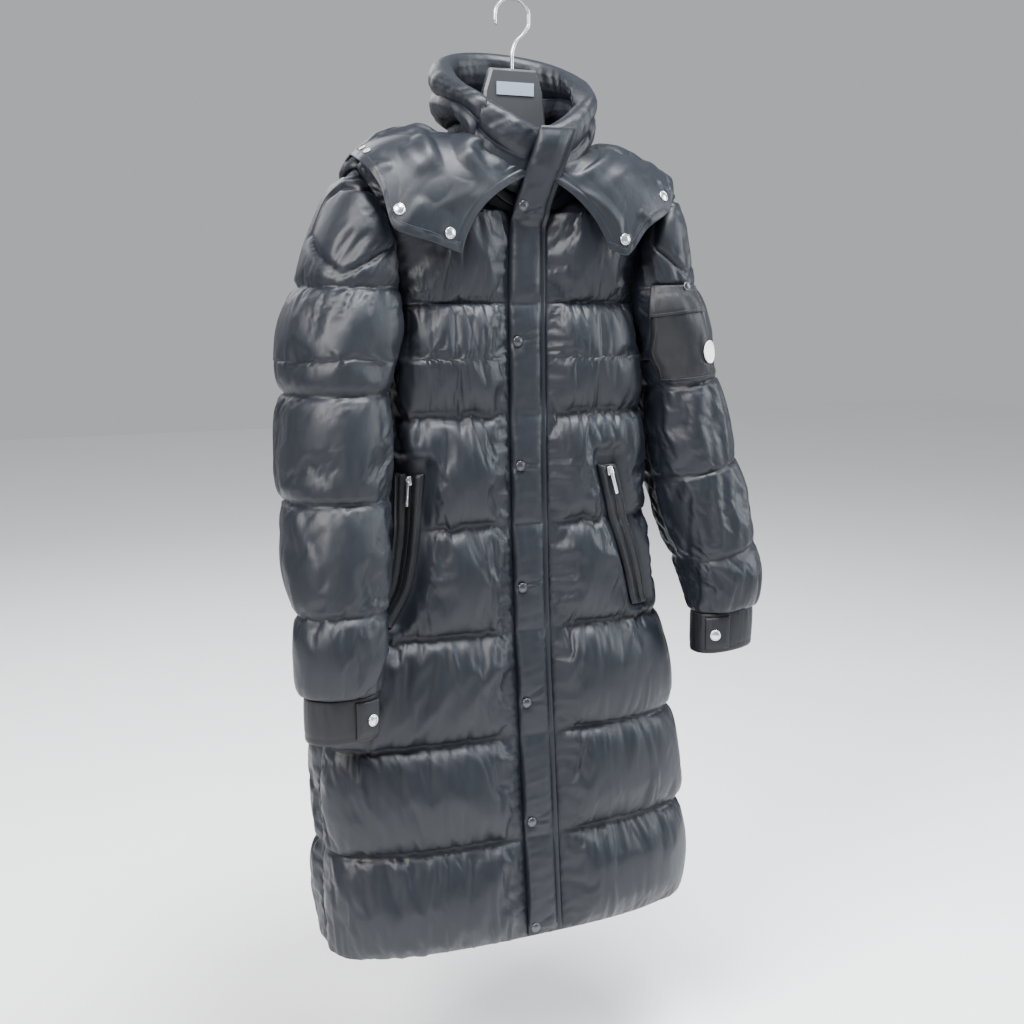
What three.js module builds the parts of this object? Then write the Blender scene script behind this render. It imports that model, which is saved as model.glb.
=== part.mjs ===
import * as THREE from "three";

// A long quilted down coat hanging on a plastic hanger, its collar open and its plain hood folded back over
// the shoulders. Millimetres, +Z up. The front faces -Y and the wearer's left sleeve is at +X.
// Levels are heights above the top chest seam; at the end the group is lowered so that the point where the
// hanger's hook bears on its rail is the origin.

// Driving dimensions
const seamSpacing = 142; // between two quilting seams of the body
const baffleCount = 6; // below the top chest seam
const hookLevel = 381; // where the hook bears, above the top chest seam
const bodyWall = 3.5;
const sleeveWall = 3;
const bodyPuff = 22;
const sleevePuff = 14;
const seamGap = 0.003; // opening between sewn panels, in radians or as a share
const armholeEase = 0.008; // how much smaller the sleeve's head is than its armhole
const layGap = 0.5; // between a piece and the panel it lies on
const armholeCentre = 47;
const armholeHalfHeight = 118;
const armholeHalfAngle = 0.61; // radians from the side line to the armhole's widest point
const neckHalfWidth = 74;
const neckFrontDepth = 56;
const neckBackDepth = 80;
const neckTop = 208; // level of the shoulder's neck point
const neckFront = 117;
const neckBack = 200;
const placketHalfWidth = 25.5;
const placketWall = 4;
const placketPuff = 7;
const bandHeight = 15;
const bandWall = 2.4;
const bandGap = 0.7; // the band above the panels, and the collar above the band
const collarWall = 3; // half the collar's thickness at its edges
const collarPuff = 12;
const collarBow = 7;
const hoodWall = 2.4;
const cuffHeight = 57;
const cuffWall = 3;
const cuffPuff = 1.5;
const tabWall = 2;
const snapRadius = 7.5;
const snapHeight = 3;
const capGap = 0.4; // under a snap's cap
const hangerGap = 2.4; // under the shoulder seams
const hemLevel = -seamSpacing * baffleCount;

// The body's quarter sections, seam to seam: a squared ellipse about (mid, 0) at each level
const bodyRows = [
  { level: -852, mid: 8, near: 276, far: 240, front: 90, back: 92, square: 2.8 },
  { level: -710, mid: 4, near: 272, far: 236, front: 84, back: 98, square: 2.8 },
  { level: -568, mid: 0, near: 268, far: 224, front: 77, back: 104, square: 2.8 },
  { level: -426, mid: -4, near: 238, far: 205, front: 71, back: 108, square: 3 },
  { level: -355, mid: -5, near: 192, far: 196, front: 68, back: 109, square: 3.3 },
  { level: -284, mid: -6, near: 177, far: 186, front: 66, back: 110, square: 3.6 },
  { level: -142, mid: -7, near: 167, far: 174, front: 62, back: 108, square: 4 },
  { level: 0, mid: -8, near: 170, far: 170, front: 60, back: 104, square: 3.6 },
  { level: 80, mid: -6, near: 188, far: 186, front: 57, back: 101, square: 3 },
  { level: 130, mid: -4, near: 202, far: 202, front: 52, back: 98, square: 2.7 },
  { level: 165, mid: -2, near: 206, far: 206, front: 47, back: 92, square: 2.5 },
  { level: 185, mid: 0, near: 152, far: 152, front: 50, back: 86, square: 2.4 },
  { level: 200, mid: 0, near: 103, far: 103, front: 50, back: 76, square: 2.3 },
  { level: 212, mid: 0, near: 64, far: 64, front: 46, back: 64, square: 2.2 },
];

// Rows of a body panel above the armpit: the level on the armhole, the level on the centre front or back,
// how far the row has come round the neckline, and how full the top baffle is there
const yokeRows = [
  { armhole: -71, front: -71, frontNeck: 0, back: -71, backNeck: 0, fill: 1 },
  { armhole: -54, front: -54, frontNeck: 0, back: -54, backNeck: 0, fill: 0.96 },
  { armhole: -18, front: -18, frontNeck: 0, back: -18, backNeck: 0, fill: 0.65 },
  { armhole: 0, front: 0, frontNeck: 0, back: 0, backNeck: 0, fill: 0 },
  { armhole: 20, front: 20, frontNeck: 0, back: 24, backNeck: 0, fill: 0.65 },
  { armhole: 60, front: 68, frontNeck: 0, back: 90, backNeck: 0, fill: 1 },
  { armhole: 95, front: neckFront, frontNeck: 0, back: 150, backNeck: 0, fill: 0.9 },
  { armhole: 120, front: neckFront, frontNeck: 0.27, back: 186, backNeck: 0, fill: 0.75 },
  { armhole: 138, front: neckFront, frontNeck: 0.5, back: neckBack, backNeck: 0, fill: 0.6 },
  { armhole: 152, front: neckFront, frontNeck: 0.72, back: neckBack, backNeck: 0.36, fill: 0.45 },
  { armhole: 161, front: neckFront, frontNeck: 0.87, back: neckBack, backNeck: 0.7, fill: 0.3 },
  { armhole: 165, front: neckFront, frontNeck: 1, back: neckBack, backNeck: 1, fill: 0 },
];

// Sleeve sections at each level: the farthest and nearest x from the body, the front and back y, and the
// slope of the quilting seams outwards
const nearSleeveRows = [
  { level: -466, outer: 324, inner: 234, front: -147, back: -83, tilt: 0 },
  { level: -417, outer: 320, inner: 226, front: -152, back: -74, tilt: 0 },
  { level: -368, outer: 320, inner: 220, front: -146, back: -52, tilt: 0 },
  { level: -302, outer: 321, inner: 212, front: -134, back: -20, tilt: 0 },
  { level: -236, outer: 320, inner: 204, front: -121, back: 9, tilt: 0 },
  { level: -172, outer: 317, inner: 199, front: -113, back: 28, tilt: 0 },
  { level: -108, outer: 311, inner: 196, front: -104, back: 42, tilt: 0 },
  { level: -71, outer: 307, inner: 194, front: -97, back: 48, tilt: 0 },
  { level: -18, outer: 298, inner: 176, front: -88, back: 57, tilt: 0 },
  { level: 20, outer: 285, inner: 155, front: -82, back: 62, tilt: 0 },
  { level: 60, outer: 266, inner: 165, front: -72, back: 66, tilt: 0 },
  { level: 95, outer: 247, inner: 175, front: -65, back: 64, tilt: 0 },
  { level: 138, outer: 226, inner: 190, front: -50, back: 58, tilt: 0 },
  { level: 165, outer: 211, inner: 198, front: -38, back: 44, tilt: 0 },
];
const farSleeveRows = [
  { level: -420, outer: 328, inner: 240, front: -117, back: -53, tilt: 0.1 },
  { level: -381, outer: 328, inner: 240, front: -122, back: -34, tilt: 0.16 },
  { level: -342, outer: 326, inner: 230, front: -118, back: -8, tilt: 0.22 },
  { level: -284, outer: 319, inner: 212, front: -109, back: 12, tilt: 0.22 },
  { level: -226, outer: 306, inner: 199, front: -102, back: 29, tilt: 0.22 },
  { level: -167, outer: 291, inner: 193, front: -96, back: 39, tilt: 0.2 },
  { level: -108, outer: 278, inner: 190, front: -90, back: 46, tilt: 0.14 },
  { level: -71, outer: 269, inner: 186, front: -86, back: 52, tilt: 0 },
  { level: -18, outer: 262, inner: 170, front: -80, back: 60, tilt: 0 },
  { level: 20, outer: 253, inner: 155, front: -75, back: 64, tilt: 0 },
  { level: 60, outer: 241, inner: 165, front: -68, back: 66, tilt: 0 },
  { level: 95, outer: 231, inner: 175, front: -61, back: 64, tilt: 0 },
  { level: 138, outer: 219, inner: 190, front: -48, back: 58, tilt: 0 },
  { level: 165, outer: 211, inner: 198, front: -38, back: 44, tilt: 0 },
];
const nearSleeveSeams = [20, -108, -236, -368];
const farSleeveSeams = [20, -108, -226, -342];
const pinchFoot = -240; // below it, a sleeve's rings are evenly spaced
const sleeveSquare = 2.3;
const sleeveColumns = 20;
const underarmLevel = -92; // the first whole ring of a sleeve below the armpit
const headTurn = 0.75; // radians from the body's side to a sleeve head's first column
const headLip = 2.5; // how far a sleeve's first points stand outside its armhole
const baffleSteps = [0, 0.13, 0.5, 0.87];

// Where each slanted pocket lies between two lines of the panel, in degrees from the centre front
const pocketTop = -1.5 * seamSpacing;
const pocketFoot = -2.87 * seamSpacing;
const pocketColumns = { near: [4, 5], far: [3, 4] };
const pockets = {
  near: { topInner: 44, topOuter: 60, footInner: 47, footOuter: 59 },
  far: { topInner: 29, topOuter: 37, footInner: 41, footOuter: 50 },
};

// The hood's lines from the neck to its edge: collar angle in degrees from the front, height on the
// collar, the crown that the cloth rises over, and the edge
const hoodFlapRight = [
  { angle: 42, height: 0.2, crownX: -98, crownY: -100, crownZ: 128, edgeX: -112, edgeY: -101, edgeZ: 60 },
  { angle: 56, height: 0.26, crownX: -130, crownY: -104, crownZ: 160, edgeX: -154, edgeY: -106, edgeZ: 74 },
  { angle: 70, height: 0.3, crownX: -160, crownY: -92, crownZ: 188, edgeX: -199, edgeY: -100, edgeZ: 90 },
  { angle: 82, height: 0.32, crownX: -172, crownY: -72, crownZ: 206, edgeX: -208, edgeY: -84, edgeZ: 136 },
  { angle: 94, height: 0.34, crownX: -168, crownY: -34, crownZ: 226, edgeX: -222, edgeY: -46, edgeZ: 170 },
  { angle: 106, height: 0.34, crownX: -165, crownY: 10, crownZ: 236, edgeX: -216, edgeY: 2, edgeZ: 180 },
];
const hoodFlapLeft = [
  { angle: 40, height: 0.2, crownX: 66, crownY: -100, crownZ: 128, edgeX: 90, edgeY: -101, edgeZ: 68 },
  { angle: 54, height: 0.26, crownX: 102, crownY: -104, crownZ: 150, edgeX: 112, edgeY: -106, edgeZ: 60 },
  { angle: 68, height: 0.3, crownX: 132, crownY: -96, crownZ: 176, edgeX: 146, edgeY: -102, edgeZ: 96 },
  { angle: 82, height: 0.32, crownX: 150, crownY: -72, crownZ: 196, edgeX: 186, edgeY: -86, edgeZ: 120 },
  { angle: 94, height: 0.34, crownX: 158, crownY: -30, crownZ: 206, edgeX: 206, edgeY: -56, edgeZ: 160 },
  { angle: 106, height: 0.34, crownX: 160, crownY: 14, crownZ: 212, edgeX: 214, edgeY: 6, edgeZ: 178 },
];
const hoodBag = [
  { angle: 109, height: 0.34, crownX: -166, crownY: 22, crownZ: 237, edgeX: -218, edgeY: 14, edgeZ: 176 },
  { angle: 118, height: 0.33, crownX: -170, crownY: 60, crownZ: 242, edgeX: -214, edgeY: 86, edgeZ: 124 },
  { angle: 128, height: 0.32, crownX: -160, crownY: 96, crownZ: 236, edgeX: -204, edgeY: 116, edgeZ: 62 },
  { angle: 146, height: 0.3, crownX: -120, crownY: 140, crownZ: 226, edgeX: -162, edgeY: 156, edgeZ: -26 },
  { angle: 163, height: 0.3, crownX: -62, crownY: 158, crownZ: 216, edgeX: -92, edgeY: 172, edgeZ: -86 },
  { angle: 180, height: 0.3, crownX: 0, crownY: 162, crownZ: 212, edgeX: 0, edgeY: 176, edgeZ: -106 },
  { angle: 197, height: 0.3, crownX: 62, crownY: 158, crownZ: 216, edgeX: 92, edgeY: 172, edgeZ: -86 },
  { angle: 214, height: 0.3, crownX: 120, crownY: 140, crownZ: 224, edgeX: 162, edgeY: 156, edgeZ: -26 },
  { angle: 232, height: 0.32, crownX: 158, crownY: 96, crownZ: 226, edgeX: 206, edgeY: 116, edgeZ: 58 },
  { angle: 241, height: 0.33, crownX: 168, crownY: 60, crownZ: 227, edgeX: 214, edgeY: 88, edgeZ: 118 },
  { angle: 251, height: 0.34, crownX: 162, crownY: 26, crownZ: 215, edgeX: 215, edgeY: 18, edgeZ: 174 },
];

const nylon = { color: 0x23262c, roughness: 0.42, metalness: 0 };
const trim = { color: 0x15171b, roughness: 0.5, metalness: 0 };
const silver = { color: 0xc4c7cc, roughness: 0.3, metalness: 1 };
const darkMetal = { color: 0x2b2d31, roughness: 0.35, metalness: 1 };
const plastic = { color: 0x33353a, roughness: 0.45, metalness: 0 };
const palePane = { color: 0x8f9aa8, roughness: 0.3, metalness: 0 };
const paleCloth = { color: 0xe4e5e6, roughness: 0.7, metalness: 0 };

const coat = new THREE.Group();
const clamp01 = (value) => Math.min(1, Math.max(0, value));
const radians = THREE.MathUtils.degToRad;
const { smoothstep } = THREE.MathUtils;

function addPiece(name, geometry, finish) {
  const piece = new THREE.Mesh(geometry, new THREE.MeshStandardMaterial(finish));
  piece.name = name;
  coat.add(piece);
  return piece;
}

// One column of a table at any level: a monotone cubic through its rows.
function readRows(rows, column, level) {
  const last = rows.length - 1;
  let i = 0;
  while (i < last - 1 && level > rows[i + 1].level) i += 1;
  const slope = (k) => (rows[k + 1][column] - rows[k][column]) / (rows[k + 1].level - rows[k].level);
  const tangent = (k) => {
    if (k === 0) return slope(0);
    if (k === last) return slope(last - 1);
    const [below, above] = [slope(k - 1), slope(k)];
    return below * above <= 0 ? 0 : (2 * below * above) / (below + above);
  };
  const span = rows[i + 1].level - rows[i].level;
  const t = (level - rows[i].level) / span;
  const [from, to] = [rows[i][column], rows[i + 1][column]];
  return (
    from * (1 + 2 * t) * (1 - t) ** 2 +
    to * (3 - 2 * t) * t ** 2 +
    span * (tangent(i) * t * (1 - t) ** 2 - tangent(i + 1) * (1 - t) * t ** 2)
  );
}

// How much a unit ray at an angle is lengthened to reach a squared ellipse.
const squareReach = (angle, square) =>
  (Math.abs(Math.cos(angle)) ** square + Math.abs(Math.sin(angle)) ** square) ** (-1 / square);

// A point of the body at seam height. side is -1 for the wearer's right and 1 for the left, face is -1
// for the front and 1 for the back, and angle runs from the centre line, 0, to the side line.
function bodyPoint(side, face, angle, level) {
  const read = (column) => readRows(bodyRows, column, level);
  const reach = squareReach(angle, read("square"));
  const width = side < 0 ? read("near") : read("far");
  const depth = face < 0 ? read("front") : read("back");
  return new THREE.Vector3(
    read("mid") + side * width * reach * Math.sin(angle),
    face * depth * reach * Math.cos(angle),
    level,
  );
}

function bodyNormal(side, face, angle, level) {
  const step = 0.02;
  const across = bodyPoint(side, face, angle + step, level).sub(bodyPoint(side, face, angle - step, level));
  const upward = bodyPoint(side, face, angle, level + 1).sub(bodyPoint(side, face, angle, level - 1));
  const normal = across.cross(upward).normalize();
  const outward = new THREE.Vector3(side * Math.sin(angle), face * Math.cos(angle), 0.3);
  return normal.dot(outward) < 0 ? normal.negate() : normal;
}

// The angle at which a section passes a given distance from the body's middle.
function angleAtWidth(side, distance, level) {
  const width = readRows(bodyRows, side < 0 ? "near" : "far", level);
  const square = readRows(bodyRows, "square", level);
  const share = Math.min(1, distance / width);
  return Math.atan2(share, (1 - share ** square) ** (1 / square));
}

function armholeAngle(level, scale) {
  const rise = clamp01(Math.abs(level - armholeCentre) / armholeHalfHeight);
  return Math.PI / 2 - scale * armholeHalfAngle * Math.sqrt(1 - rise ** 2);
}

// A wall of cloth: grids of stations, each with its inner point, its normal and the height of its outer
// point above it. Stations at one place are one point, so slits, poles and tubes close by themselves.
function sewnWall(grids) {
  const indexOf = new Map();
  const stations = [];
  const triangles = [];
  const place = (station) => {
    const key = station.inner.toArray().map((value) => Math.round(value * 100)).join();
    if (!indexOf.has(key)) {
      indexOf.set(key, stations.length);
      stations.push(station);
    }
    return indexOf.get(key);
  };
  const face = (a, b, c) => {
    if (a !== b && b !== c && c !== a) triangles.push([a, b, c]);
  };
  for (const grid of grids) {
    const ids = grid.map((row) => row.map(place));
    for (let j = 0; j + 1 < ids.length; j += 1) {
      for (let i = 0; i + 1 < ids[j].length; i += 1) {
        face(ids[j][i], ids[j][i + 1], ids[j + 1][i + 1]);
        face(ids[j][i], ids[j + 1][i + 1], ids[j + 1][i]);
      }
    }
  }
  return closedShell(stations, triangles);
}

// Closes outer triangles with their inner copies and a rim along every open edge.
function closedShell(stations, triangles) {
  const count = stations.length;
  const outer = stations.map(({ inner, normal, rise }) => inner.clone().addScaledVector(normal, rise));
  const points = [...outer, ...stations.map((station) => station.inner)];
  const directed = new Set(triangles.flatMap(([a, b, c]) => [`${a},${b}`, `${b},${c}`, `${c},${a}`]));
  const faces = [];
  for (const [a, b, c] of triangles) {
    faces.push([a, b, c], [c + count, b + count, a + count]);
    for (const [from, to] of [[a, b], [b, c], [c, a]]) {
      if (directed.has(`${to},${from}`)) continue;
      faces.push([to, from, from + count], [to, from + count, to + count]);
    }
  }
  return facedOut(points, faces);
}

// Makes the geometry, turned so that its volume is positive.
function facedOut(points, faces) {
  const cross = new THREE.Vector3();
  const share = ([a, b, c]) => points[a].dot(cross.crossVectors(points[b], points[c]));
  const volume = faces.reduce((sum, face) => sum + share(face), 0);
  const index = volume < 0 ? faces.flatMap(([a, b, c]) => [a, c, b]) : faces.flat();
  return new THREE.BufferGeometry().setFromPoints(points).setIndex(index);
}

// Normals of a grid of points from its neighbours, turned away from each row's middle.
function gridNormals(points, closed, away) {
  const rows = points.length;
  return points.map((row, j) =>
    row.map((point, i) => {
      const count = row.length;
      const next = closed ? row[(i % (count - 1)) + 1] : row[Math.min(i + 1, count - 1)];
      const before = closed ? row[(i + count - 2) % (count - 1)] : row[Math.max(i - 1, 0)];
      const above = points[Math.min(j + 1, rows - 1)][i];
      const below = points[Math.max(j - 1, 0)][i];
      const normal = next.clone().sub(before).cross(above.clone().sub(below)).normalize();
      return normal.dot(away(point, j, i)) < 0 ? normal.negate() : normal;
    }),
  );
}

// Fullness between two seams, 0 at either and 1 halfway.
const fullness = (t) => (4 * clamp01(t) * (1 - clamp01(t))) ** 0.55;

// A point of the neckline. turn runs from the centre, 0, to the shoulder's neck point, 1.
function neckAngle(side, face, turn) {
  const base = face < 0 ? neckFront : neckBack;
  const level = base + (neckTop - base) * (1 - Math.cos((turn * Math.PI) / 2));
  if (turn >= 1) return { level, angle: Math.PI / 2 };
  const width = neckHalfWidth * Math.sin((turn * Math.PI) / 2);
  return { level, angle: angleAtWidth(side, width, level) };
}

// Columns of the front panels, from the placket's edge out, with two on the pocket's edges.
function frontAngles(start, end, side, level) {
  const pocket = side < 0 ? pockets.near : pockets.far;
  const t = clamp01((pocketTop - level) / (pocketTop - pocketFoot));
  const share = clamp01((end - start) / (Math.PI / 2));
  const inner = start + share * radians(pocket.topInner + (pocket.footInner - pocket.topInner) * t);
  const outer = start + share * radians(pocket.topOuter + (pocket.footOuter - pocket.topOuter) * t);
  const width = readRows(bodyRows, side < 0 ? "near" : "far", level);
  const edge = Math.max(start + 0.1 * (end - start), Math.atan((placketHalfWidth + 1.5) / width));
  const [inside, outside] = side < 0 ? [3, 3] : [2, 4];
  const angles = [start];
  for (let i = 0; i < inside; i += 1) angles.push(edge + ((inner - edge) * i) / inside);
  angles.push(inner);
  for (let i = 0; i <= outside; i += 1) angles.push(outer + ((end - outer) * i) / outside);
  return angles;
}

const backColumns = 9;
const backAngles = (start, end) =>
  Array.from({ length: backColumns + 1 }, (_, i) => start + ((end - start) * i) / backColumns);

// Levels of the rows from the hem to the armpit, four to a baffle.
const lowerLevels = [];
for (let baffle = 0; baffle < baffleCount; baffle += 1) {
  for (const step of baffleSteps) {
    const level = hemLevel + (baffle + step) * seamSpacing;
    if (level < yokeRows[0].armhole - 1) lowerLevels.push({ level, fill: fullness(step) });
  }
}

// How full a body panel is at a column: flat at the placket and the seams, and held in by the sleeves.
function columnFill(face, share, angle, level, column, last) {
  if (column === last) return 0;
  if (face < 0 && column <= 1) return 0;
  const seamFade = Math.min(1, (1 - share) / 0.22);
  const pressed = smoothstep(level, -430, -370) * (1 - smoothstep(level, 0, 60));
  const side = smoothstep(angle, 0.85, 1.15);
  const centreFade = face < 0 && column === 2 ? 0.9 : 1;
  const underarm = Math.exp(-(((level - yokeRows[0].armhole) / 40) ** 2));
  return seamFade ** 0.6 * (1 - side * Math.max(0.75 * pressed, underarm)) * centreFade;
}

// One half of a front or of the back, as rows of stations from the hem to the shoulder seam.
function halfPanel(side, face) {
  const sideLine = Math.PI / 2 - seamGap;
  const centreStart = face < 0 ? 0.4 / readRows(bodyRows, "near", 0) : 0;
  const rows = lowerLevels.map(({ level, fill }) => ({
    start: { level, angle: centreStart },
    end: { level, angle: sideLine },
    fill,
  }));
  for (const row of yokeRows) {
    const turn = face < 0 ? row.frontNeck : row.backNeck;
    const centre = face < 0 ? row.front : row.back;
    const start = turn > 0 ? neckAngle(side, face, turn) : { level: centre, angle: centreStart };
    start.angle = Math.min(start.angle, sideLine);
    const armhole = armholeAngle(row.armhole, 1 + seamGap);
    rows.push({ start, end: { level: row.armhole, angle: Math.min(sideLine, armhole) }, fill: row.fill });
  }
  return rows.map(({ start, end, fill }) => {
    const spread = face < 0 ? frontAngles : backAngles;
    const angles = spread(start.angle, end.angle, side, start.level);
    const last = angles.length - 1;
    return angles.map((angle, column) => {
      const span = end.angle - start.angle;
      const along = span > 0 ? (angle - start.angle) / span : column / last;
      const level = start.level + (end.level - start.level) * along;
      const inPocket = face < 0 && level < pocketTop + 1 && level > pocketFoot - 1;
      const pocketColumn = pocketColumns[side < 0 ? "near" : "far"].includes(column);
      const hollow = inPocket && pocketColumn ? 0.3 : 1;
      const neckEdge = level > neckFront - 1 && column === 0 ? 0 : 1;
      const full = fill * hollow * neckEdge * columnFill(face, along, angle, level, column, last);
      return {
        inner: bodyPoint(side, face, angle, level),
        normal: bodyNormal(side, face, angle, level),
        rise: bodyWall + bodyPuff * full,
      };
    });
  });
}

// The outer point of a station, moved out by a clearance.
const lifted = ({ inner, normal, rise }, clearance) =>
  inner.clone().addScaledVector(normal, rise + clearance);

const frontRight = halfPanel(-1, -1);
const frontLeft = halfPanel(1, -1);
addPiece("front_right", sewnWall([frontRight]), nylon);
addPiece("front_left", sewnWall([frontLeft]), nylon);
const backRight = halfPanel(-1, 1).map((row) => [...row].reverse());
addPiece("back", sewnWall([backRight, halfPanel(1, 1)]), nylon);

// The levels of a sleeve's rows with their fullness, from the shoulder down.
function sleeveLevels(sleeveSeams, cuffLevel) {
  const cap = yokeRows.map(({ armhole }) => armhole).reverse();
  const seams = [...sleeveSeams, cuffLevel];
  const rows = cap.map((level) => {
    const [above, below] = level >= seams[0] ? [cap[0], seams[0]] : [seams[0], seams[1]];
    return { level, fill: fullness((level - below) / (above - below)) };
  });
  rows.push({ level: underarmLevel, fill: fullness(baffleSteps[1]) });
  for (let k = 1; k + 1 < seams.length; k += 1) {
    for (const step of baffleSteps) {
      rows.push({ level: seams[k] + (seams[k + 1] - seams[k]) * step, fill: fullness(step) });
    }
  }
  rows.push({ level: cuffLevel, fill: 0 });
  return rows;
}

function sleevePoint(side, rows, angle, level) {
  const read = (column) => readRows(rows, column, level);
  const reach = squareReach(angle, sleeveSquare);
  const centreX = (read("outer") + read("inner")) / 2;
  const halfWidth = (read("outer") - read("inner")) / 2;
  const centreY = (read("front") + read("back")) / 2;
  const halfDepth = (read("back") - read("front")) / 2;
  const out = -halfWidth * reach * Math.cos(angle);
  return new THREE.Vector3(
    side * (centreX + out),
    centreY - halfDepth * reach * Math.sin(angle),
    level + read("tilt") * out,
  );
}

// The angle of a whole ring's column. Just below the armpit the columns stand as they do above it, away
// from the body, and they even out on the way down.
function ringTurn(t, level) {
  const pinch = t > 0 && t < 1 ? smoothstep(level, pinchFoot, yokeRows[0].armhole) : 0;
  return 2 * Math.PI * t + pinch * headTurn * (1 - 2 * t);
}

// The angle in a sleeve's section that faces a given point.
function facingAngle(side, rows, target) {
  const read = (column) => readRows(rows, column, target.z);
  const share = (value, from, to) => (2 * value - from - to) / (to - from);
  const across = share(side * target.x, read("inner"), read("outer"));
  const along = share(target.y, read("front"), read("back"));
  return Math.atan2(-along, -across);
}

// A sleeve as grids of stations: rows open towards the armhole above the armpit, whole rings below it,
// and a narrow strip on either side that passes through the armhole. Its sections are its outer face.
function sleeveGrids({ side, rows, seams, cuffLevel }) {
  const shrink = 1 - armholeEase;
  const [armpit, tip] = [yokeRows[0].armhole, yokeRows.at(-1).armhole];
  const levels = sleeveLevels(seams, cuffLevel);
  const holes = levels.map(({ level }) => {
    if (level < armpit) return null;
    const height = armholeCentre + (level - armholeCentre) * shrink;
    return [-1, 1].map((face) => {
      const angle = armholeAngle(level, shrink);
      const seat = bodyPoint(side, face, angle, height);
      const through = bodyNormal(side, face, angle, height);
      const radial = new THREE.Vector3(0, seat.y, (height - armholeCentre) * 0.6).normalize();
      return { seat, radial, out: seat.clone().addScaledVector(through, bodyWall + headLip) };
    });
  });
  const points = levels.map(({ level }, j) => {
    const hole = holes[j];
    const spread = Array.from({ length: sleeveColumns + 1 }, (_, i) => i / sleeveColumns);
    if (!hole) return spread.map((t) => sleevePoint(side, rows, ringTurn(t, level), level));
    if (level >= tip) return spread.map(() => hole[0].out.clone());
    const start = level === armpit ? 0 : facingAngle(side, rows, hole[0].out);
    const backTurn = facingAngle(side, rows, hole[1].out);
    const finish = level === armpit ? 2 * Math.PI : backTurn + (backTurn < Math.PI / 2 ? 2 * Math.PI : 0);
    const turnOf = (t) => (level === armpit ? ringTurn(t, level) : start + (finish - start) * t);
    const misses = [start, finish].map((turn, k) =>
      hole[k].out.clone().sub(sleevePoint(side, rows, turn, level)),
    );
    return spread.map((t) =>
      sleevePoint(side, rows, turnOf(t), level)
        .addScaledVector(misses[0], (1 - t) ** 4)
        .addScaledVector(misses[1], t ** 4),
    );
  });
  const middle = points.map((row) =>
    row.reduce((sum, point) => sum.add(point), new THREE.Vector3()).divideScalar(row.length),
  );
  const normals = gridNormals(points, false, (point, j) => {
    const away = point.clone().sub(middle[j]);
    if (levels[j].level > armpit) away.x += side * 40;
    return away.lengthSq() > 1 ? away : new THREE.Vector3(side, 0, 0.3);
  });
  const station = (face, normal, fill) => ({
    inner: face.clone().addScaledVector(normal, -sleeveWall),
    normal,
    rise: sleeveWall + fill,
  });
  const main = levels.map(({ level, fill }, j) =>
    points[j].map((point, i) => {
      const edge = i === 0 || i === sleeveColumns;
      const share = i / sleeveColumns;
      let normal = normals[j][i];
      if (holes[j] && edge) normal = holes[j][i === 0 || level === armpit ? 0 : 1].radial;
      else if (edge) normal = normals[j][sleeveColumns - i].clone().add(normals[j][i]).normalize();
      if (level === cuffLevel) normal = normal.clone().setZ(0).normalize();
      const inside = holes[j]
        ? Math.min(1, 3.2 * Math.min(share, 1 - share)) ** 0.8
        : 0.2 + 0.8 * Math.sin(Math.PI * share) ** 0.8;
      return station(point, normal, sleevePuff * fill * inside);
    }),
  );
  const strips = [0, 1].map((k) =>
    main.flatMap((row, j) => {
      if (!holes[j]) return [];
      const hole = holes[j][levels[j].level === armpit || levels[j].level >= tip ? 0 : k];
      const start = station(hole.seat, hole.radial, 0);
      return [k === 0 ? [start, row[0]] : [row[sleeveColumns], start]];
    }),
  );
  return [main, ...strips];
}

const nearCuffLevel = nearSleeveRows[0].level;
const farCuffLevel = farSleeveRows[0].level;
const sleeves = {
  right: { side: -1, rows: nearSleeveRows, seams: nearSleeveSeams, cuffLevel: nearCuffLevel },
  left: { side: 1, rows: farSleeveRows, seams: farSleeveSeams, cuffLevel: farCuffLevel },
};

// A cuff band below a sleeve, and the overlap strip that its snap holds.
function addCuff(name, { side, rows, cuffLevel }) {
  const steps = [0.012, 0.5, 1];
  const [cuffRow] = rows;
  const points = steps.map((step) =>
    Array.from({ length: sleeveColumns + 1 }, (_, i) => {
      const point = sleevePoint(side, rows, (i / sleeveColumns) * 2 * Math.PI, cuffLevel);
      point.z -= step * cuffHeight;
      return point;
    }),
  );
  const middle = [(side * (cuffRow.outer + cuffRow.inner)) / 2, (cuffRow.front + cuffRow.back) / 2];
  const centre = new THREE.Vector3(...middle, 0);
  const normals = gridNormals(points, true, (point) => point.clone().sub(centre).setZ(0));
  const grid = points.map((row, j) =>
    row.map((point, i) => ({
      inner: point.clone().addScaledVector(normals[j][i], -cuffWall),
      normal: normals[j][i],
      rise: cuffWall + (j === 1 ? cuffPuff : 0),
    })),
  );
  addPiece(`cuff_${name}`, sewnWall([grid]), trim);
  const [firstColumn, endColumn] = [2, 5];
  const tab = grid.map((row) =>
    row.slice(firstColumn, endColumn).map((station) => ({
      inner: lifted(station, layGap),
      normal: station.normal,
      rise: tabWall,
    })),
  );
  addPiece(`cuff_tab_${name}`, sewnWall([tab]), trim);
  return tab;
}

const sleeveStations = {};
const cuffTabs = {};
for (const [name, sleeve] of Object.entries(sleeves)) {
  const grids = sleeveGrids(sleeve);
  sleeveStations[name] = grids[0];
  addPiece(`sleeve_${name}`, sewnWall(grids), nylon);
  cuffTabs[name] = addCuff(name, sleeve);
}

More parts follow.
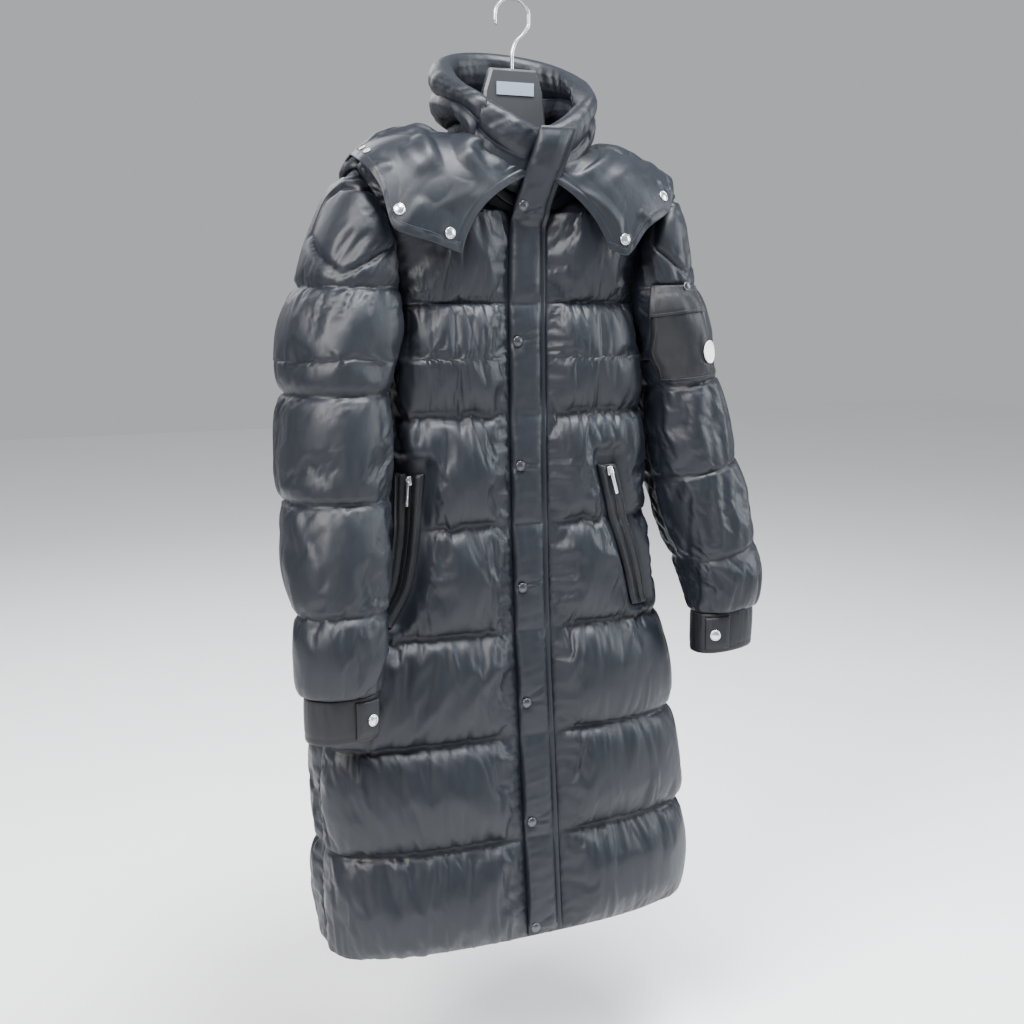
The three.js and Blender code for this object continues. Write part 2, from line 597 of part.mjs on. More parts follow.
// The neckline once round, from the centre front over the wearer's left shoulder to the back and on,
// with a midpoint on each straight stretch.
function neckRing() {
  const corners = [];
  const turnsOf = (column) => [...new Set(yokeRows.map((row) => row[column]))];
  const frontTurns = turnsOf("frontNeck");
  const backTurns = turnsOf("backNeck");
  const push = (side, face, turn) => {
    const { level, angle } = neckAngle(side, face, turn);
    const corner = bodyPoint(side, face, angle, level);
    corner.addScaledVector(bodyNormal(side, face, angle, level), bodyWall);
    corner.z += bandGap;
    corners.push(corner);
  };
  for (const turn of frontTurns) push(1, -1, turn);
  for (const turn of backTurns.slice(0, -1).reverse()) push(1, 1, turn);
  for (const turn of backTurns.slice(1, -1)) push(-1, 1, turn);
  for (const turn of [...frontTurns].reverse()) push(-1, -1, turn);
  return corners.flatMap((corner, k) => {
    const next = corners[k + 1];
    return next ? [corner, corner.clone().add(next).multiplyScalar(0.5)] : [corner];
  });
}
const neckPoints = neckRing();
const neckCount = neckPoints.length - 1;
const ringAngles = neckPoints.map((point, i) => {
  if (i === 0 || i === neckCount) return i === 0 ? 0 : 2 * Math.PI;
  const depth = point.y < 0 ? neckFrontDepth : neckBackDepth;
  const angle = Math.atan2(point.x / neckHalfWidth, -point.y / depth);
  return angle < 0 ? angle + 2 * Math.PI : angle;
});

// The collar's rim, wide at the sides and low at the front.
function rimPoint(angle) {
  const rise = Math.sin(angle / 2) ** 1.2;
  return new THREE.Vector3(2 + 90 * Math.sin(angle), -3 - 82 * Math.cos(angle), 214 + 114 * rise);
}

// The middle of the collar's thickness. height is 0 at the neck band and 1 at the rim.
function collarPoint(i, height) {
  const base = neckPoints[i].clone();
  base.z += bandHeight + 2 * bandGap;
  const outward = new THREE.Vector3(base.x, base.y, 0).normalize();
  base.addScaledVector(outward, 1.5);
  const bow = collarBow * Math.sin(Math.PI * height);
  return base.lerp(rimPoint(ringAngles[i]), height).addScaledVector(outward, bow);
}

const collarHeights = [0, 0.05, 0.24, 0.47, 0.53, 0.76, 0.94, 1];
const collarFills = [0, 0.2, 1, 0.62, 0.62, 1, 0.6, 0];
const collarPoints = collarHeights.map((height) => neckPoints.map((_, i) => collarPoint(i, height)));
const collarNormals = gridNormals(collarPoints, false, (point) => new THREE.Vector3(point.x, point.y, 0));
const endFade = (i) => Math.min(1, Math.min(i, neckCount - i) / 3) ** 0.6;
const collarGrid = collarPoints.map((row, j) =>
  row.map((point, i) => {
    const half = collarWall + collarPuff * collarFills[j] * endFade(i) - (j === 0 ? 1.2 : 0);
    const normal = j === 0 ? collarNormals[j][i].clone().setZ(0).normalize() : collarNormals[j][i];
    const middle = point.clone();
    if (i === 0) middle.x += layGap;
    if (i === neckCount) middle.x -= layGap;
    return { inner: middle.addScaledVector(normal, -half), normal, rise: 2 * half };
  }),
);
addPiece("collar", sewnWall([collarGrid]), nylon);

const bandGrid = [0, 1].map((end) =>
  neckPoints.map((point, i) => {
    const inner = point.clone();
    inner.z += end * (bandHeight - bandGap);
    if (i === 0) inner.x += layGap;
    if (i === neckCount) inner.x -= layGap;
    const normal = new THREE.Vector3(point.x, point.y, 0).normalize();
    return { inner: inner.addScaledVector(normal, -bandWall), normal, rise: bandWall };
  }),
);
addPiece("neck_band", sewnWall([bandGrid]), trim);

// The placket's upper end leans forward and to the wearer's left as it climbs the collar.
const placketTop = [
  { level: 94, x: -7, y: -70, fill: 0.8 },
  { level: 120, x: -4, y: -75, fill: 0.4 },
  { level: 146, x: 2, y: -82, fill: 0.7 },
  { level: 172, x: 8, y: -92, fill: 0.9 },
  { level: 196, x: 14, y: -99, fill: 0.7 },
  { level: 216, x: 20, y: -102, fill: 0 },
];
// The placket: rows down the front, over the neck band and up the collar, each five points wide.
const placketSnaps = [108, -48, -208, -367, -523, -688, -840];
const placketOffsets = [-1, -0.7, 0, 0.5, 1].map((share) => share * placketHalfWidth);
function placketRow(level, fill) {
  return placketOffsets.map((offset) => {
    const side = offset < 0 ? -1 : 1;
    const angle = angleAtWidth(side, Math.abs(offset), level);
    const normal = bodyNormal(side, -1, angle, level);
    const edge = Math.abs(offset) > placketHalfWidth - 1;
    return {
      inner: bodyPoint(side, -1, angle, level).addScaledVector(normal, bodyWall + layGap + 0.1),
      normal,
      rise: placketWall + (edge ? 0 : placketPuff * fill),
    };
  });
}
function placketRows() {
  const levels = [{ level: hemLevel + 2, fill: 0 }];
  for (let baffle = 0; baffle < baffleCount; baffle += 1) {
    for (const step of baffleSteps) {
      if (baffle + step === 0) continue;
      levels.push({ level: hemLevel + (baffle + step) * seamSpacing, fill: fullness(step) });
    }
  }
  levels.push({ level: 0, fill: 0 }, { level: 20, fill: 0.7 }, { level: 60, fill: 1 });
  for (const level of placketSnaps) {
    const share = (level - hemLevel) / seamSpacing;
    if (level < placketTop[0].level) levels.push({ level, fill: fullness(share % 1) });
  }
  levels.sort((a, b) => a.level - b.level);
  return levels.map(({ level, fill }) => placketRow(level, fill));
}

const placketGrid = placketRows();
for (const { level, x, y, fill } of placketTop) {
  const normal = new THREE.Vector3(0, -1, -0.12).normalize();
  placketGrid.push(
    placketOffsets.map((offset) => ({
      inner: new THREE.Vector3(x + offset, y + Math.abs(offset) * 0.12, level),
      normal,
      rise: placketWall + (Math.abs(offset) > placketHalfWidth - 1 ? 0 : placketPuff * fill),
    })),
  );
}
addPiece("placket", sewnWall([placketGrid]), nylon);

// A line of the hood from the neck over its crown to its edge.
function hoodLine(row, steps, clearance) {
  const angle = radians(row.angle);
  const i = ringAngles.findLastIndex((value) => value <= angle);
  const t = (angle - ringAngles[i]) / (ringAngles[i + 1] - ringAngles[i]);
  const at = (k) => collarPoint(Math.min(k, neckCount), row.height);
  const neck = at(i).lerp(at(i + 1), t);
  const outward = new THREE.Vector3(neck.x, neck.y, 0).normalize();
  neck.addScaledVector(outward, collarWall + collarPuff + clearance);
  const crown = new THREE.Vector3(row.crownX, row.crownY, row.crownZ);
  const edge = new THREE.Vector3(row.edgeX, row.edgeY, row.edgeZ);
  const curve = new THREE.QuadraticBezierCurve3(neck, crown, edge);
  return curve.getPoints(steps);
}

// A part of the hood: its lines eased from one table row to the next.
function hoodGrid(rows, turn, perSpan, steps, clearance) {
  const columns = ["angle", "height", "crownX", "crownY", "crownZ", "edgeX", "edgeY", "edgeZ"];
  const tracks = rows.map((row, k) => ({ ...row, level: k }));
  const lines = [];
  for (let k = 0; k <= (rows.length - 1) * perSpan; k += 1) {
    const read = (column) => [column, readRows(tracks, column, k / perSpan)];
    const line = Object.fromEntries(columns.map(read));
    if (turn < 0) line.angle = 360 - line.angle;
    lines.push(hoodLine(line, steps, clearance));
  }
  const normals = gridNormals(lines, false, (point) => new THREE.Vector3(point.x, point.y, 120));
  return lines.map((line, j) => line.map((inner, i) => ({ inner, normal: normals[j][i], rise: hoodWall })));
}
const hoodClearance = { right: 2, left: 1.8, back: 0.4 }; // from the collar's fullest line
const hoodRight = hoodGrid(hoodFlapRight, -1, 2, 9, hoodClearance.right);
const hoodLeft = hoodGrid(hoodFlapLeft, 1, 2, 9, hoodClearance.left);
const hoodBack = hoodGrid(hoodBag, -1, 2, 10, hoodClearance.back);
addPiece("hood_right", sewnWall([hoodRight]), nylon);
addPiece("hood_left", sewnWall([hoodLeft]), nylon);
addPiece("hood_back", sewnWall([hoodBack]), nylon);

const weltGap = 0.7; // between a welt and its panel
const weltLip = 7;
const grooveWall = 2;
const tapeWall = 1.2;
const tapeGap = 0.3; // under the zip and under its slider

// A pocket on a front: the welt is the panel's own strip moved out, with a groove for the zip.
function pocketStations(panel, columns) {
  const rows = panel.filter(([first]) => first.inner.z < pocketTop + 1 && first.inner.z > pocketFoot - 1);
  const shares = [0.08, 0.28, 0.34, 0.5, 0.66, 0.72, 0.9];
  return rows.map((row) =>
    shares.map((share) => {
      const [a, b] = columns.map((column) => row[column]);
      return {
        inner: lifted(a, weltGap).lerp(lifted(b, weltGap), share),
        normal: a.normal.clone().lerp(b.normal, share).normalize(),
        rise: 0,
      };
    }),
  );
}

function addPocket(name, panel, columns) {
  const stations = pocketStations(panel, columns);
  const lipRise = [weltLip - 2, weltLip, grooveWall, grooveWall, grooveWall, weltLip, weltLip - 2];
  const welt = stations.map((row) => row.map((station, i) => ({ ...station, rise: lipRise[i] })));
  addPiece(`welt_${name}`, sewnWall([welt]), trim);
  const tape = stations.map((row) =>
    [0.25, 0.5, 0.75].map((share) => {
      const [a, b] = share < 0.5 ? [row[2], row[3]] : [row[3], row[4]];
      const middle = a.inner.clone().lerp(b.inner, share < 0.5 ? share * 2 : share * 2 - 1);
      const normal = row[3].normal;
      return { inner: middle.addScaledVector(normal, grooveWall + tapeGap), normal, rise: tapeWall };
    }),
  );
  addPiece(`zip_${name}`, sewnWall([tape]), trim);
  return tape.map((row) => row[1]);
}
const zipLines = {
  right: addPocket("right", frontRight, pocketColumns.near),
  left: addPocket("left", frontLeft, pocketColumns.far),
};

// A frame on a surface: origin, outward normal, the direction down along it and the one across.
function surfaceFrame(origin, normal, down) {
  const across = new THREE.Vector3().crossVectors(down, normal).normalize();
  const along = new THREE.Vector3().crossVectors(normal, across).normalize();
  return new THREE.Matrix4().makeBasis(across, along, normal).setPosition(origin);
}

const slider = { width: 9, length: 12, height: 4, seat: 0.5 };
const pull = { width: 4.5, length: 36, thickness: 1.6, corner: 2, hinge: 3, seat: 0.8 };
function addZipPull(name, line) {
  const top = line.at(-1);
  const below = line.at(-2);
  const down = below.inner.clone().sub(top.inner).normalize();
  const seat = lifted(top, tapeGap).addScaledVector(down, slider.length / 2 + 2);
  const frame = surfaceFrame(seat, top.normal, down);
  const body = new THREE.BoxGeometry(slider.width, slider.length, slider.height);
  body.translate(0, 0, slider.height / 2 + slider.seat).applyMatrix4(frame);
  addPiece(`slider_${name}`, body, silver);
  const outline = new THREE.Shape();
  const [w, l, r] = [pull.width / 2, pull.length, pull.corner];
  outline.moveTo(-w, 0).lineTo(w, 0).lineTo(w, l - r);
  outline.absarc(w - r, l - r, r, 0, Math.PI / 2, false);
  outline.lineTo(r - w, l);
  outline.absarc(r - w, l - r, r, Math.PI / 2, Math.PI, false);
  outline.lineTo(-w, 0);
  const extrusion = { depth: pull.thickness, bevelEnabled: false, curveSegments: 3 };
  const tab = new THREE.ExtrudeGeometry(outline, extrusion);
  tab.translate(0, -pull.hinge, slider.height + pull.seat).applyMatrix4(frame);
  addPiece(`pull_${name}`, tab, silver);
}
for (const [name, line] of Object.entries(zipLines)) addZipPull(name, line);

// The patch pocket on the wearer's left sleeve: strips of the sleeve's own points, moved out.
function sleevePatch(highest, lowest, firstColumn, endColumn, clearance, rise, lead) {
  const rows = sleeveStations.left.filter((row) => {
    const level = row[8].inner.z - 12;
    return level <= highest && level >= lowest;
  });
  return rows.map((row, j) =>
    row.slice(firstColumn, endColumn).map((station, i, all) => {
      const border = j === 0 || j === rows.length - 1 || i === 0 || i === all.length - 1;
      const height = border ? rise : rise + lead;
      return { inner: lifted(station, clearance), normal: station.normal, rise: height };
    }),
  );
}
const sleevePocket = sleevePatch(26, -112, 1, 7, layGap, 4, 2);
const flapClearance = layGap + 6.6; // over the pocket's fullest line
const pocketFlap = sleevePatch(26, -20, 1, 7, flapClearance, 2.4, 0.6);
addPiece("sleeve_pocket", sewnWall([sleevePocket]), trim);
addPiece("sleeve_pocket_flap", sewnWall([pocketFlap]), trim);

// A snap's cap on a surface, with its domed face outwards.
function addSnap(name, point, normal, finish, radius = snapRadius, height = snapHeight) {
  const profile = [
    [0, 0],
    [radius, 0],
    [radius, height * 0.55],
    [radius * 0.8, height],
    [0, height],
  ].map(([x, y]) => new THREE.Vector2(x, y));
  const cap = new THREE.LatheGeometry(profile, 10);
  cap.rotateX(Math.PI / 2);
  cap.applyMatrix4(surfaceFrame(point, normal, new THREE.Vector3(0, 0.02, -1)));
  addPiece(name, cap, finish);
}

// Seats a cap on a grid's station, above the highest of its neighbours within the cap's reach.
function seatOn(grid, j, i, radius = snapRadius) {
  const station = grid[j][i];
  const point = lifted(station, 0);
  let height = 0;
  for (const dj of [-1, 0, 1]) {
    for (const di of [-1, 0, 1]) {
      const other = grid[j + dj]?.[i + di];
      if (!other || other === station) continue;
      const offset = lifted(other, 0).sub(point);
      const above = offset.dot(station.normal);
      height = Math.max(height, above * Math.min(1, radius / offset.length()));
    }
  }
  return { point: point.addScaledVector(station.normal, height + capGap), normal: station.normal };
}

function addSnapOn(name, grid, j, i, finish) {
  const { point, normal } = seatOn(grid, j, i);
  addSnap(name, point, normal, finish);
}

const nearestRow = (grid, level, column) =>
  grid.reduce(
    (best, row, j) =>
      Math.abs(row[column].inner.z - level) < Math.abs(grid[best][column].inner.z - level) ? j : best,
    0,
  );
placketSnaps.forEach((level, k) => {
  addSnapOn(`placket_snap_${k + 1}`, placketGrid, nearestRow(placketGrid, level, 1), 1, darkMetal);
});
addSnapOn("cuff_snap_right", cuffTabs.right, 1, 1, silver);
addSnapOn("cuff_snap_left", cuffTabs.left, 1, 1, silver);
addSnapOn("hood_snap_right_1", hoodRight, 1, 8, silver);
addSnapOn("hood_snap_right_2", hoodRight, 4, 8, silver);
addSnapOn("hood_snap_left_1", hoodLeft, 2, 8, silver);
addSnapOn("hood_snap_left_2", hoodLeft, 6, 8, silver);
addSnapOn("hood_cord_end_1", hoodRight, 8, 8, silver);
addSnapOn("hood_cord_end_2", hoodRight, 9, 8, silver);
addSnapOn("pocket_snap", pocketFlap, pocketFlap.length - 2, 4, darkMetal);

// The bare patch on the sleeve pocket's outer side, a plain upright oval.
function addBadge() {
  const { point, normal } = seatOn(sleevePocket, sleevePocket.length - 2, 4, 16);
  const oval = new THREE.Shape();
  oval.absellipse(0, 0, 11, 15, 0, 2 * Math.PI, false);
  const badge = new THREE.ExtrudeGeometry(oval, { depth: 1.6, bevelEnabled: false, curveSegments: 10 });
  badge.applyMatrix4(surfaceFrame(point, normal, new THREE.Vector3(0, 0.02, -1)));
  addPiece("badge", badge, paleCloth);
}
addBadge();

// The hanger: a flat plate whose arms run just below the shoulder seams, and its wire hook.
const hanger = { thickness: 14, bevel: 3, plateTop: 296, plateTopHalf: 32, plateHalf: 41, plateLevel: 268 };
const hookWire = 2.2;
function addHanger() {
  const side = (sign) => {
    const points = [[sign * hanger.plateTopHalf, hanger.plateTop]];
    points.push([sign * hanger.plateHalf, hanger.plateLevel], [sign * 46, 224], [sign * 60, 201]);
    for (const level of [203, 196, 188, 180, 174, 170]) {
      points.push([bodyPoint(sign, 1, Math.PI / 2, level).x, level - hangerGap]);
    }
    points.push([sign * 200, 156], [sign * 192, 146], [sign * 120, 160], [sign * 60, 178]);
    return points;
  };
  const outline = new THREE.Shape();
  const right = side(1);
  const left = side(-1).reverse();
  [...right, ...left].forEach(([x, z], k) => (k === 0 ? outline.moveTo(x, z) : outline.lineTo(x, z)));
  outline.closePath();
  const plate = new THREE.ExtrudeGeometry(outline, {
    depth: hanger.thickness - 2 * hanger.bevel,
    bevelThickness: hanger.bevel,
    bevelSize: hanger.bevel,
    bevelSegments: 1,
    bevelOffset: -hanger.bevel,
  });
  plate.translate(0, 0, -hanger.thickness / 2 + hanger.bevel).rotateX(Math.PI / 2);
  addPiece("hanger", plate, plastic);
  const pane = new THREE.BoxGeometry(52, 1.2, 16);
  pane.translate(1, -hanger.thickness / 2 - 0.3 - 0.6, 271);
  addPiece("hanger_pane", pane, palePane);
}
addHanger();

function addHook() {
  const radius = 24;
  const centre = hookLevel + hookWire - radius;
  const onArc = (degrees) =>
    new THREE.Vector3(radius * Math.cos(radians(degrees)), 0, centre + radius * Math.sin(radians(degrees)));
  const path = new THREE.CatmullRomCurve3([
    new THREE.Vector3(0, 0, hanger.plateTop + 0.3),
    new THREE.Vector3(0, 0, 312),
    new THREE.Vector3(4, 0, 327),
    ...[-40, 0, 45, 90, 135, 180, 205].map(onArc),
  ]);
  const wire = new THREE.Shape();
  wire.absarc(0, 0, hookWire, 0, 2 * Math.PI, false);
  const hook = new THREE.ExtrudeGeometry(wire, { steps: 26, extrudePath: path, curveSegments: 4 });
  addPiece("hook", hook, silver);
}
addHook();

coat.position.z = -hookLevel;
export default coat;
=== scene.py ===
import math

import bpy
import numpy as np
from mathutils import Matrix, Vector


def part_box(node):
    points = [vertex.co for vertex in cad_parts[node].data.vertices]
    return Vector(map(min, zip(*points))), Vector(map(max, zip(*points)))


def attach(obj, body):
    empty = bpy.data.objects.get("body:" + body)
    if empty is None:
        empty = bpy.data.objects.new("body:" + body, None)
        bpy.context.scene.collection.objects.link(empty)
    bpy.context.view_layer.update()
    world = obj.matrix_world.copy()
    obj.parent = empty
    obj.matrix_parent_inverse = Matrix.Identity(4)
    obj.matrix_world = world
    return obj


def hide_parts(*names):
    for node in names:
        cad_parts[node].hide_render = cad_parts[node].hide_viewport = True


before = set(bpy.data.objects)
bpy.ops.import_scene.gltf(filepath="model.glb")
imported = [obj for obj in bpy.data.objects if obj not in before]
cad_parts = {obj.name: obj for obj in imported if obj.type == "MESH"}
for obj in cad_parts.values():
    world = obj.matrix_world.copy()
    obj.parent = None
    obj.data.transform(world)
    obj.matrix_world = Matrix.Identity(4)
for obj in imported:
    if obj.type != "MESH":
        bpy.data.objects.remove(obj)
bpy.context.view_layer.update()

pi = math.pi
print("frame loaded")

# Millimetres, heights above the top chest seam, until a mesh is made
hookLevel = 381
seamSpacing = 142
hemLevel = -852
armpit = -71
armhole = dict(centre=47, half=118, turn=0.61, ease=0.008, lip=2.5)
neckline = dict(width=74, frontDepth=56, backDepth=80, front=117, back=200, top=208, gap=0.7)
bodyWall = 3.5

bodyShape = dict(
    level=[-852, -710, -568, -426, -355, -284, -142, 0, 80, 130, 165, 185, 200, 212],
    mid=[8, 4, 0, -4, -5, -6, -7, -8, -6, -4, -2, 0, 0, 0],
    near=[276, 272, 268, 238, 192, 177, 167, 170, 188, 202, 206, 152, 103, 64],
    far=[240, 236, 224, 205, 196, 186, 174, 170, 186, 202, 206, 152, 103, 64],
    front=[90, 84, 77, 71, 68, 66, 62, 60, 57, 52, 47, 50, 50, 46],
    back=[92, 98, 104, 108, 109, 110, 108, 104, 101, 98, 92, 86, 76, 64],
    square=[2.8, 2.8, 2.8, 3, 3.3, 3.6, 4, 3.6, 3, 2.7, 2.5, 2.4, 2.3, 2.2],
)
yokeShape = dict(
    armhole=[-71, -54, -18, 0, 20, 60, 95, 120, 138, 152, 161, 165],
    front=[-71, -54, -18, 0, 20, 68, 117, 117, 117, 117, 117, 117],
    frontNeck=[0, 0, 0, 0, 0, 0, 0, 0.27, 0.5, 0.72, 0.87, 1],
    back=[-71, -54, -18, 0, 24, 90, 150, 186, 200, 200, 200, 200],
    backNeck=[0, 0, 0, 0, 0, 0, 0, 0, 0, 0.36, 0.7, 1],
)
nearSleeve = dict(
    level=[-466, -417, -368, -302, -236, -172, -108, -71, -18, 20, 60, 95, 138, 165],
    outer=[324, 320, 320, 321, 320, 317, 311, 307, 298, 285, 266, 247, 226, 211],
    inner=[234, 226, 220, 212, 204, 199, 196, 194, 176, 155, 165, 175, 190, 198],
    front=[-147, -152, -146, -134, -121, -113, -104, -97, -88, -82, -72, -65, -50, -38],
    back=[-83, -74, -52, -20, 9, 28, 42, 48, 57, 62, 66, 64, 58, 44],
    tilt=[0, 0, 0, 0, 0, 0, 0, 0, 0, 0, 0, 0, 0, 0],
)
farSleeve = dict(
    level=[-420, -381, -342, -284, -226, -167, -108, -71, -18, 20, 60, 95, 138, 165],
    outer=[328, 328, 326, 319, 306, 291, 278, 269, 262, 253, 241, 231, 219, 211],
    inner=[240, 240, 230, 212, 199, 193, 190, 186, 170, 155, 165, 175, 190, 198],
    front=[-117, -122, -118, -109, -102, -96, -90, -86, -80, -75, -68, -61, -48, -38],
    back=[-53, -34, -8, 12, 29, 39, 46, 52, 60, 64, 66, 64, 58, 44],
    tilt=[0.1, 0.16, 0.22, 0.22, 0.22, 0.2, 0.14, 0, 0, 0, 0, 0, 0, 0],
)


# A table's column at any levels: a cubic through its rows that never overshoots.
def readRows(rows, column, level):
    x, y = np.array(rows["level"], float), np.array(rows[column], float)
    slope = np.diff(y) / np.diff(x)
    both = slope[:-1] * slope[1:]
    total = slope[:-1] + slope[1:]
    inside = np.where(both > 0, 2 * both / np.where(total == 0, 1, total), 0)
    tangent = np.concatenate([slope[:1], inside, slope[-1:]])
    i = np.clip(np.searchsorted(x, level, side="right") - 1, 0, len(x) - 2)
    span = x[i + 1] - x[i]
    t = (level - x[i]) / span
    bend = tangent[i] * t * (1 - t) ** 2 - tangent[i + 1] * (1 - t) * t ** 2
    return y[i] * (1 + 2 * t) * (1 - t) ** 2 + y[i + 1] * (3 - 2 * t) * t ** 2 + span * bend


def smooth(x, low, high):
    t = np.clip((x - low) / (high - low), 0, 1)
    return t * t * (3 - 2 * t)


def unit(v):
    return v / np.maximum(np.linalg.norm(v, axis=-1, keepdims=True), 1e-9)


# Turns round the vectors that point against a direction.
def facing(normal, direction):
    return normal * np.sign((normal * direction).sum(-1, keepdims=True))


# A running mean down each column, as long as the column.
def evened(values, size):
    mean = lambda c: np.convolve(np.pad(c, size // 2, mode="edge"), np.ones(size) / size, "valid")
    return np.apply_along_axis(mean, 0, values)


# Distance travelled along each row of a grid of points, from its first column.
def lengthAlong(points, axis):
    steps = np.linalg.norm(np.diff(points, axis=axis), axis=-1)
    first = np.zeros_like(np.take(steps, [0], axis=axis))
    return np.cumsum(np.concatenate([first, steps], axis=axis), axis=axis)


# A squared ellipse at each level: x and y are the half sizes times sine and cosine, lengthened to the
# square.
def bodyPoint(side, face, angle, level):
    angle, level = np.broadcast_arrays(np.asarray(angle, float), np.asarray(level, float))
    square = readRows(bodyShape, "square", level)
    reach = (abs(np.cos(angle)) ** square + abs(np.sin(angle)) ** square) ** (-1 / square)
    width = readRows(bodyShape, "near" if side < 0 else "far", level)
    depth = readRows(bodyShape, "front" if face < 0 else "back", level)
    x = readRows(bodyShape, "mid", level) + side * width * reach * np.sin(angle)
    return np.stack([x, face * depth * reach * np.cos(angle), level], -1)


def bodyNormal(side, face, angle, level):
    across = bodyPoint(side, face, angle + 0.02, level) - bodyPoint(side, face, angle - 0.02, level)
    upward = bodyPoint(side, face, angle, level + 1) - bodyPoint(side, face, angle, level - 1)
    normal = unit(np.cross(across, upward))
    outward = np.stack([side * np.sin(angle), face * np.cos(angle), 0.3 + 0 * angle], -1)
    return facing(normal, outward)


def angleAtWidth(side, distance, level):
    square = readRows(bodyShape, "square", level)
    share = np.minimum(1, distance / readRows(bodyShape, "near" if side < 0 else "far", level))
    return np.arctan2(share, (1 - share ** square) ** (1 / square))


def armholeAngle(level, scale):
    rise = np.clip(abs(level - armhole["centre"]) / armhole["half"], 0, 1)
    return pi / 2 - scale * armhole["turn"] * np.sqrt(1 - rise ** 2)


# The neckline: a quarter turn of an ellipse on the body, from the centre, 0, to the shoulder, 1.
def neckAngle(side, face, turn):
    base = neckline["front"] if face < 0 else neckline["back"]
    level = base + (neckline["top"] - base) * (1 - np.cos(turn * pi / 2))
    angle = angleAtWidth(side, neckline["width"] * np.sin(turn * pi / 2), level)
    return level, np.where(turn >= 1, pi / 2, angle)


def fullness(t):
    t = np.clip(t, 0, 1)
    return (4 * t * (1 - t)) ** 0.55


# Rounded ridges with sharp valleys that leave a seam at right angles. Each is a half sine of a jittered
# phase along the seam, with its own height and reach, and fades away from the seam.
def puckers(along, away, seed, waves):
    draw = np.random.default_rng(seed)
    low, high = float(along.min()), float(along.max())
    total = np.zeros_like(along)
    for wave, height, reach in waves:
        count = int((high - low) / wave * 1.3) + 12
        edges = low - 4 * wave + np.cumsum(wave * draw.uniform(0.5, 1.6, count))
        lean = np.interp(along, np.linspace(low, high, 9), draw.uniform(-0.3, 0.3, 9))
        phase = np.interp(along + lean * away, edges, np.arange(count))
        k = np.clip(phase.astype(int), 0, count - 1)
        strength = draw.uniform(0.25, 1, count)[k]
        length = reach * draw.uniform(0.35, 1.5, count)[k]
        ridge = np.clip(np.sin(pi * (phase - k)), 0, 1) ** 0.8
        start = 1 - np.exp(-np.maximum(away, 0) / 5)
        fade = lambda size: start * np.exp(-(np.maximum(away, 0) / size) ** 1.6)
        total += height * (strength * ridge * fade(length) - 0.26 * fade(reach))
    return total


# The puckers on both sides of a seam, from the distance above it.
def seamFolds(along, off, seeds, waves):
    above = puckers(along, np.maximum(off, 0), seeds[0], waves) * (off > 0)
    return above + puckers(along, np.maximum(-off, 0), seeds[1], waves) * (off < 0)


# Broad uneven swellings: a few slow waves in two directions.
def lumps(along, up, seed, wave):
    draw = np.random.default_rng(seed)
    total = np.zeros_like(along)
    for k in range(7):
        turn, size, shift = draw.uniform(0, pi), draw.uniform(0.7, 2.2), draw.uniform(0, 2 * pi)
        total += np.sin((along * np.cos(turn) + up * np.sin(turn)) * 2 * pi / (wave * size) + shift)
    return total / 4


# Soft creases: each runs between two points of the sheet, as wide and as high as it says, and fades at
# its ends.
def creases(u, v, lines):
    total = np.zeros_like(u)
    for u0, v0, u1, v1, width, height in lines:
        span = max(math.hypot(u1 - u0, v1 - v0), 1e-6)
        du, dv = (u1 - u0) / span, (v1 - v0) / span
        along = ((u - u0) * du + (v - v0) * dv) / span
        off = (u - u0) * dv - (v - v0) * du
        ends = smooth(along, -0.12, 0.25) * smooth(-along, -1.12, -0.75)
        total += height * np.exp(-(off / width) ** 2) * ends
    return total


# Evens out a grid's columns: each row's parameter is read at equal steps of its length.
def evenColumns(rowPoint, rowCount, columns):
    dense = np.linspace(0, 1, 161)
    points = rowPoint(np.broadcast_to(dense, (rowCount, len(dense))))
    length = lengthAlong(points, 1)
    even = np.linspace(0, 1, columns + 1)
    return np.stack([np.interp(even * row[-1], row, dense) for row in length])


# Normals of a grid from its neighbours in both directions.
def gridNormals(points, closed=False):
    down = np.gradient(points, axis=0)
    if closed:
        ring = np.concatenate([points[:, -2:-1], points, points[:, 1:2]], axis=1)
        across = np.gradient(ring, axis=1)[:, 1:-1]
    else:
        across = np.gradient(points, axis=1)
    return unit(np.cross(across, down))


# The corners of every cell of a grid, counted row by row from a first number.
def gridQuads(rows, columns, first=0):
    ids = first + np.arange(rows * columns).reshape(rows, columns)
    return np.stack([ids[:-1, :-1], ids[:-1, 1:], ids[1:, 1:], ids[1:, :-1]], -1).reshape(-1, 4)


# Two triangles per cell, without those that have lost an edge.
def splitQuads(quads):
    triangles = np.concatenate([quads[:, [0, 1, 2]], quads[:, [0, 2, 3]]])
    a, b, c = triangles.T
    return triangles[(a != b) & (b != c) & (c != a)]


# Points that share a place once rounded to a size: which ones stay, and where each one went.
def weldPoints(points, size):
    keys = np.round(points / size).astype(np.int64)
    kept, back = np.unique(keys, axis=0, return_index=True, return_inverse=True)[1:]
    return kept, back.ravel()


# Turns the faces outwards: the sum of the corners' triple products is six times the volume.
def outwards(points, triangles):
    a, b, c = (points[triangles] - points.mean(axis=0)).transpose(1, 0, 2)
    return triangles[:, ::-1] if (a * np.cross(b, c)).sum() < 0 else triangles


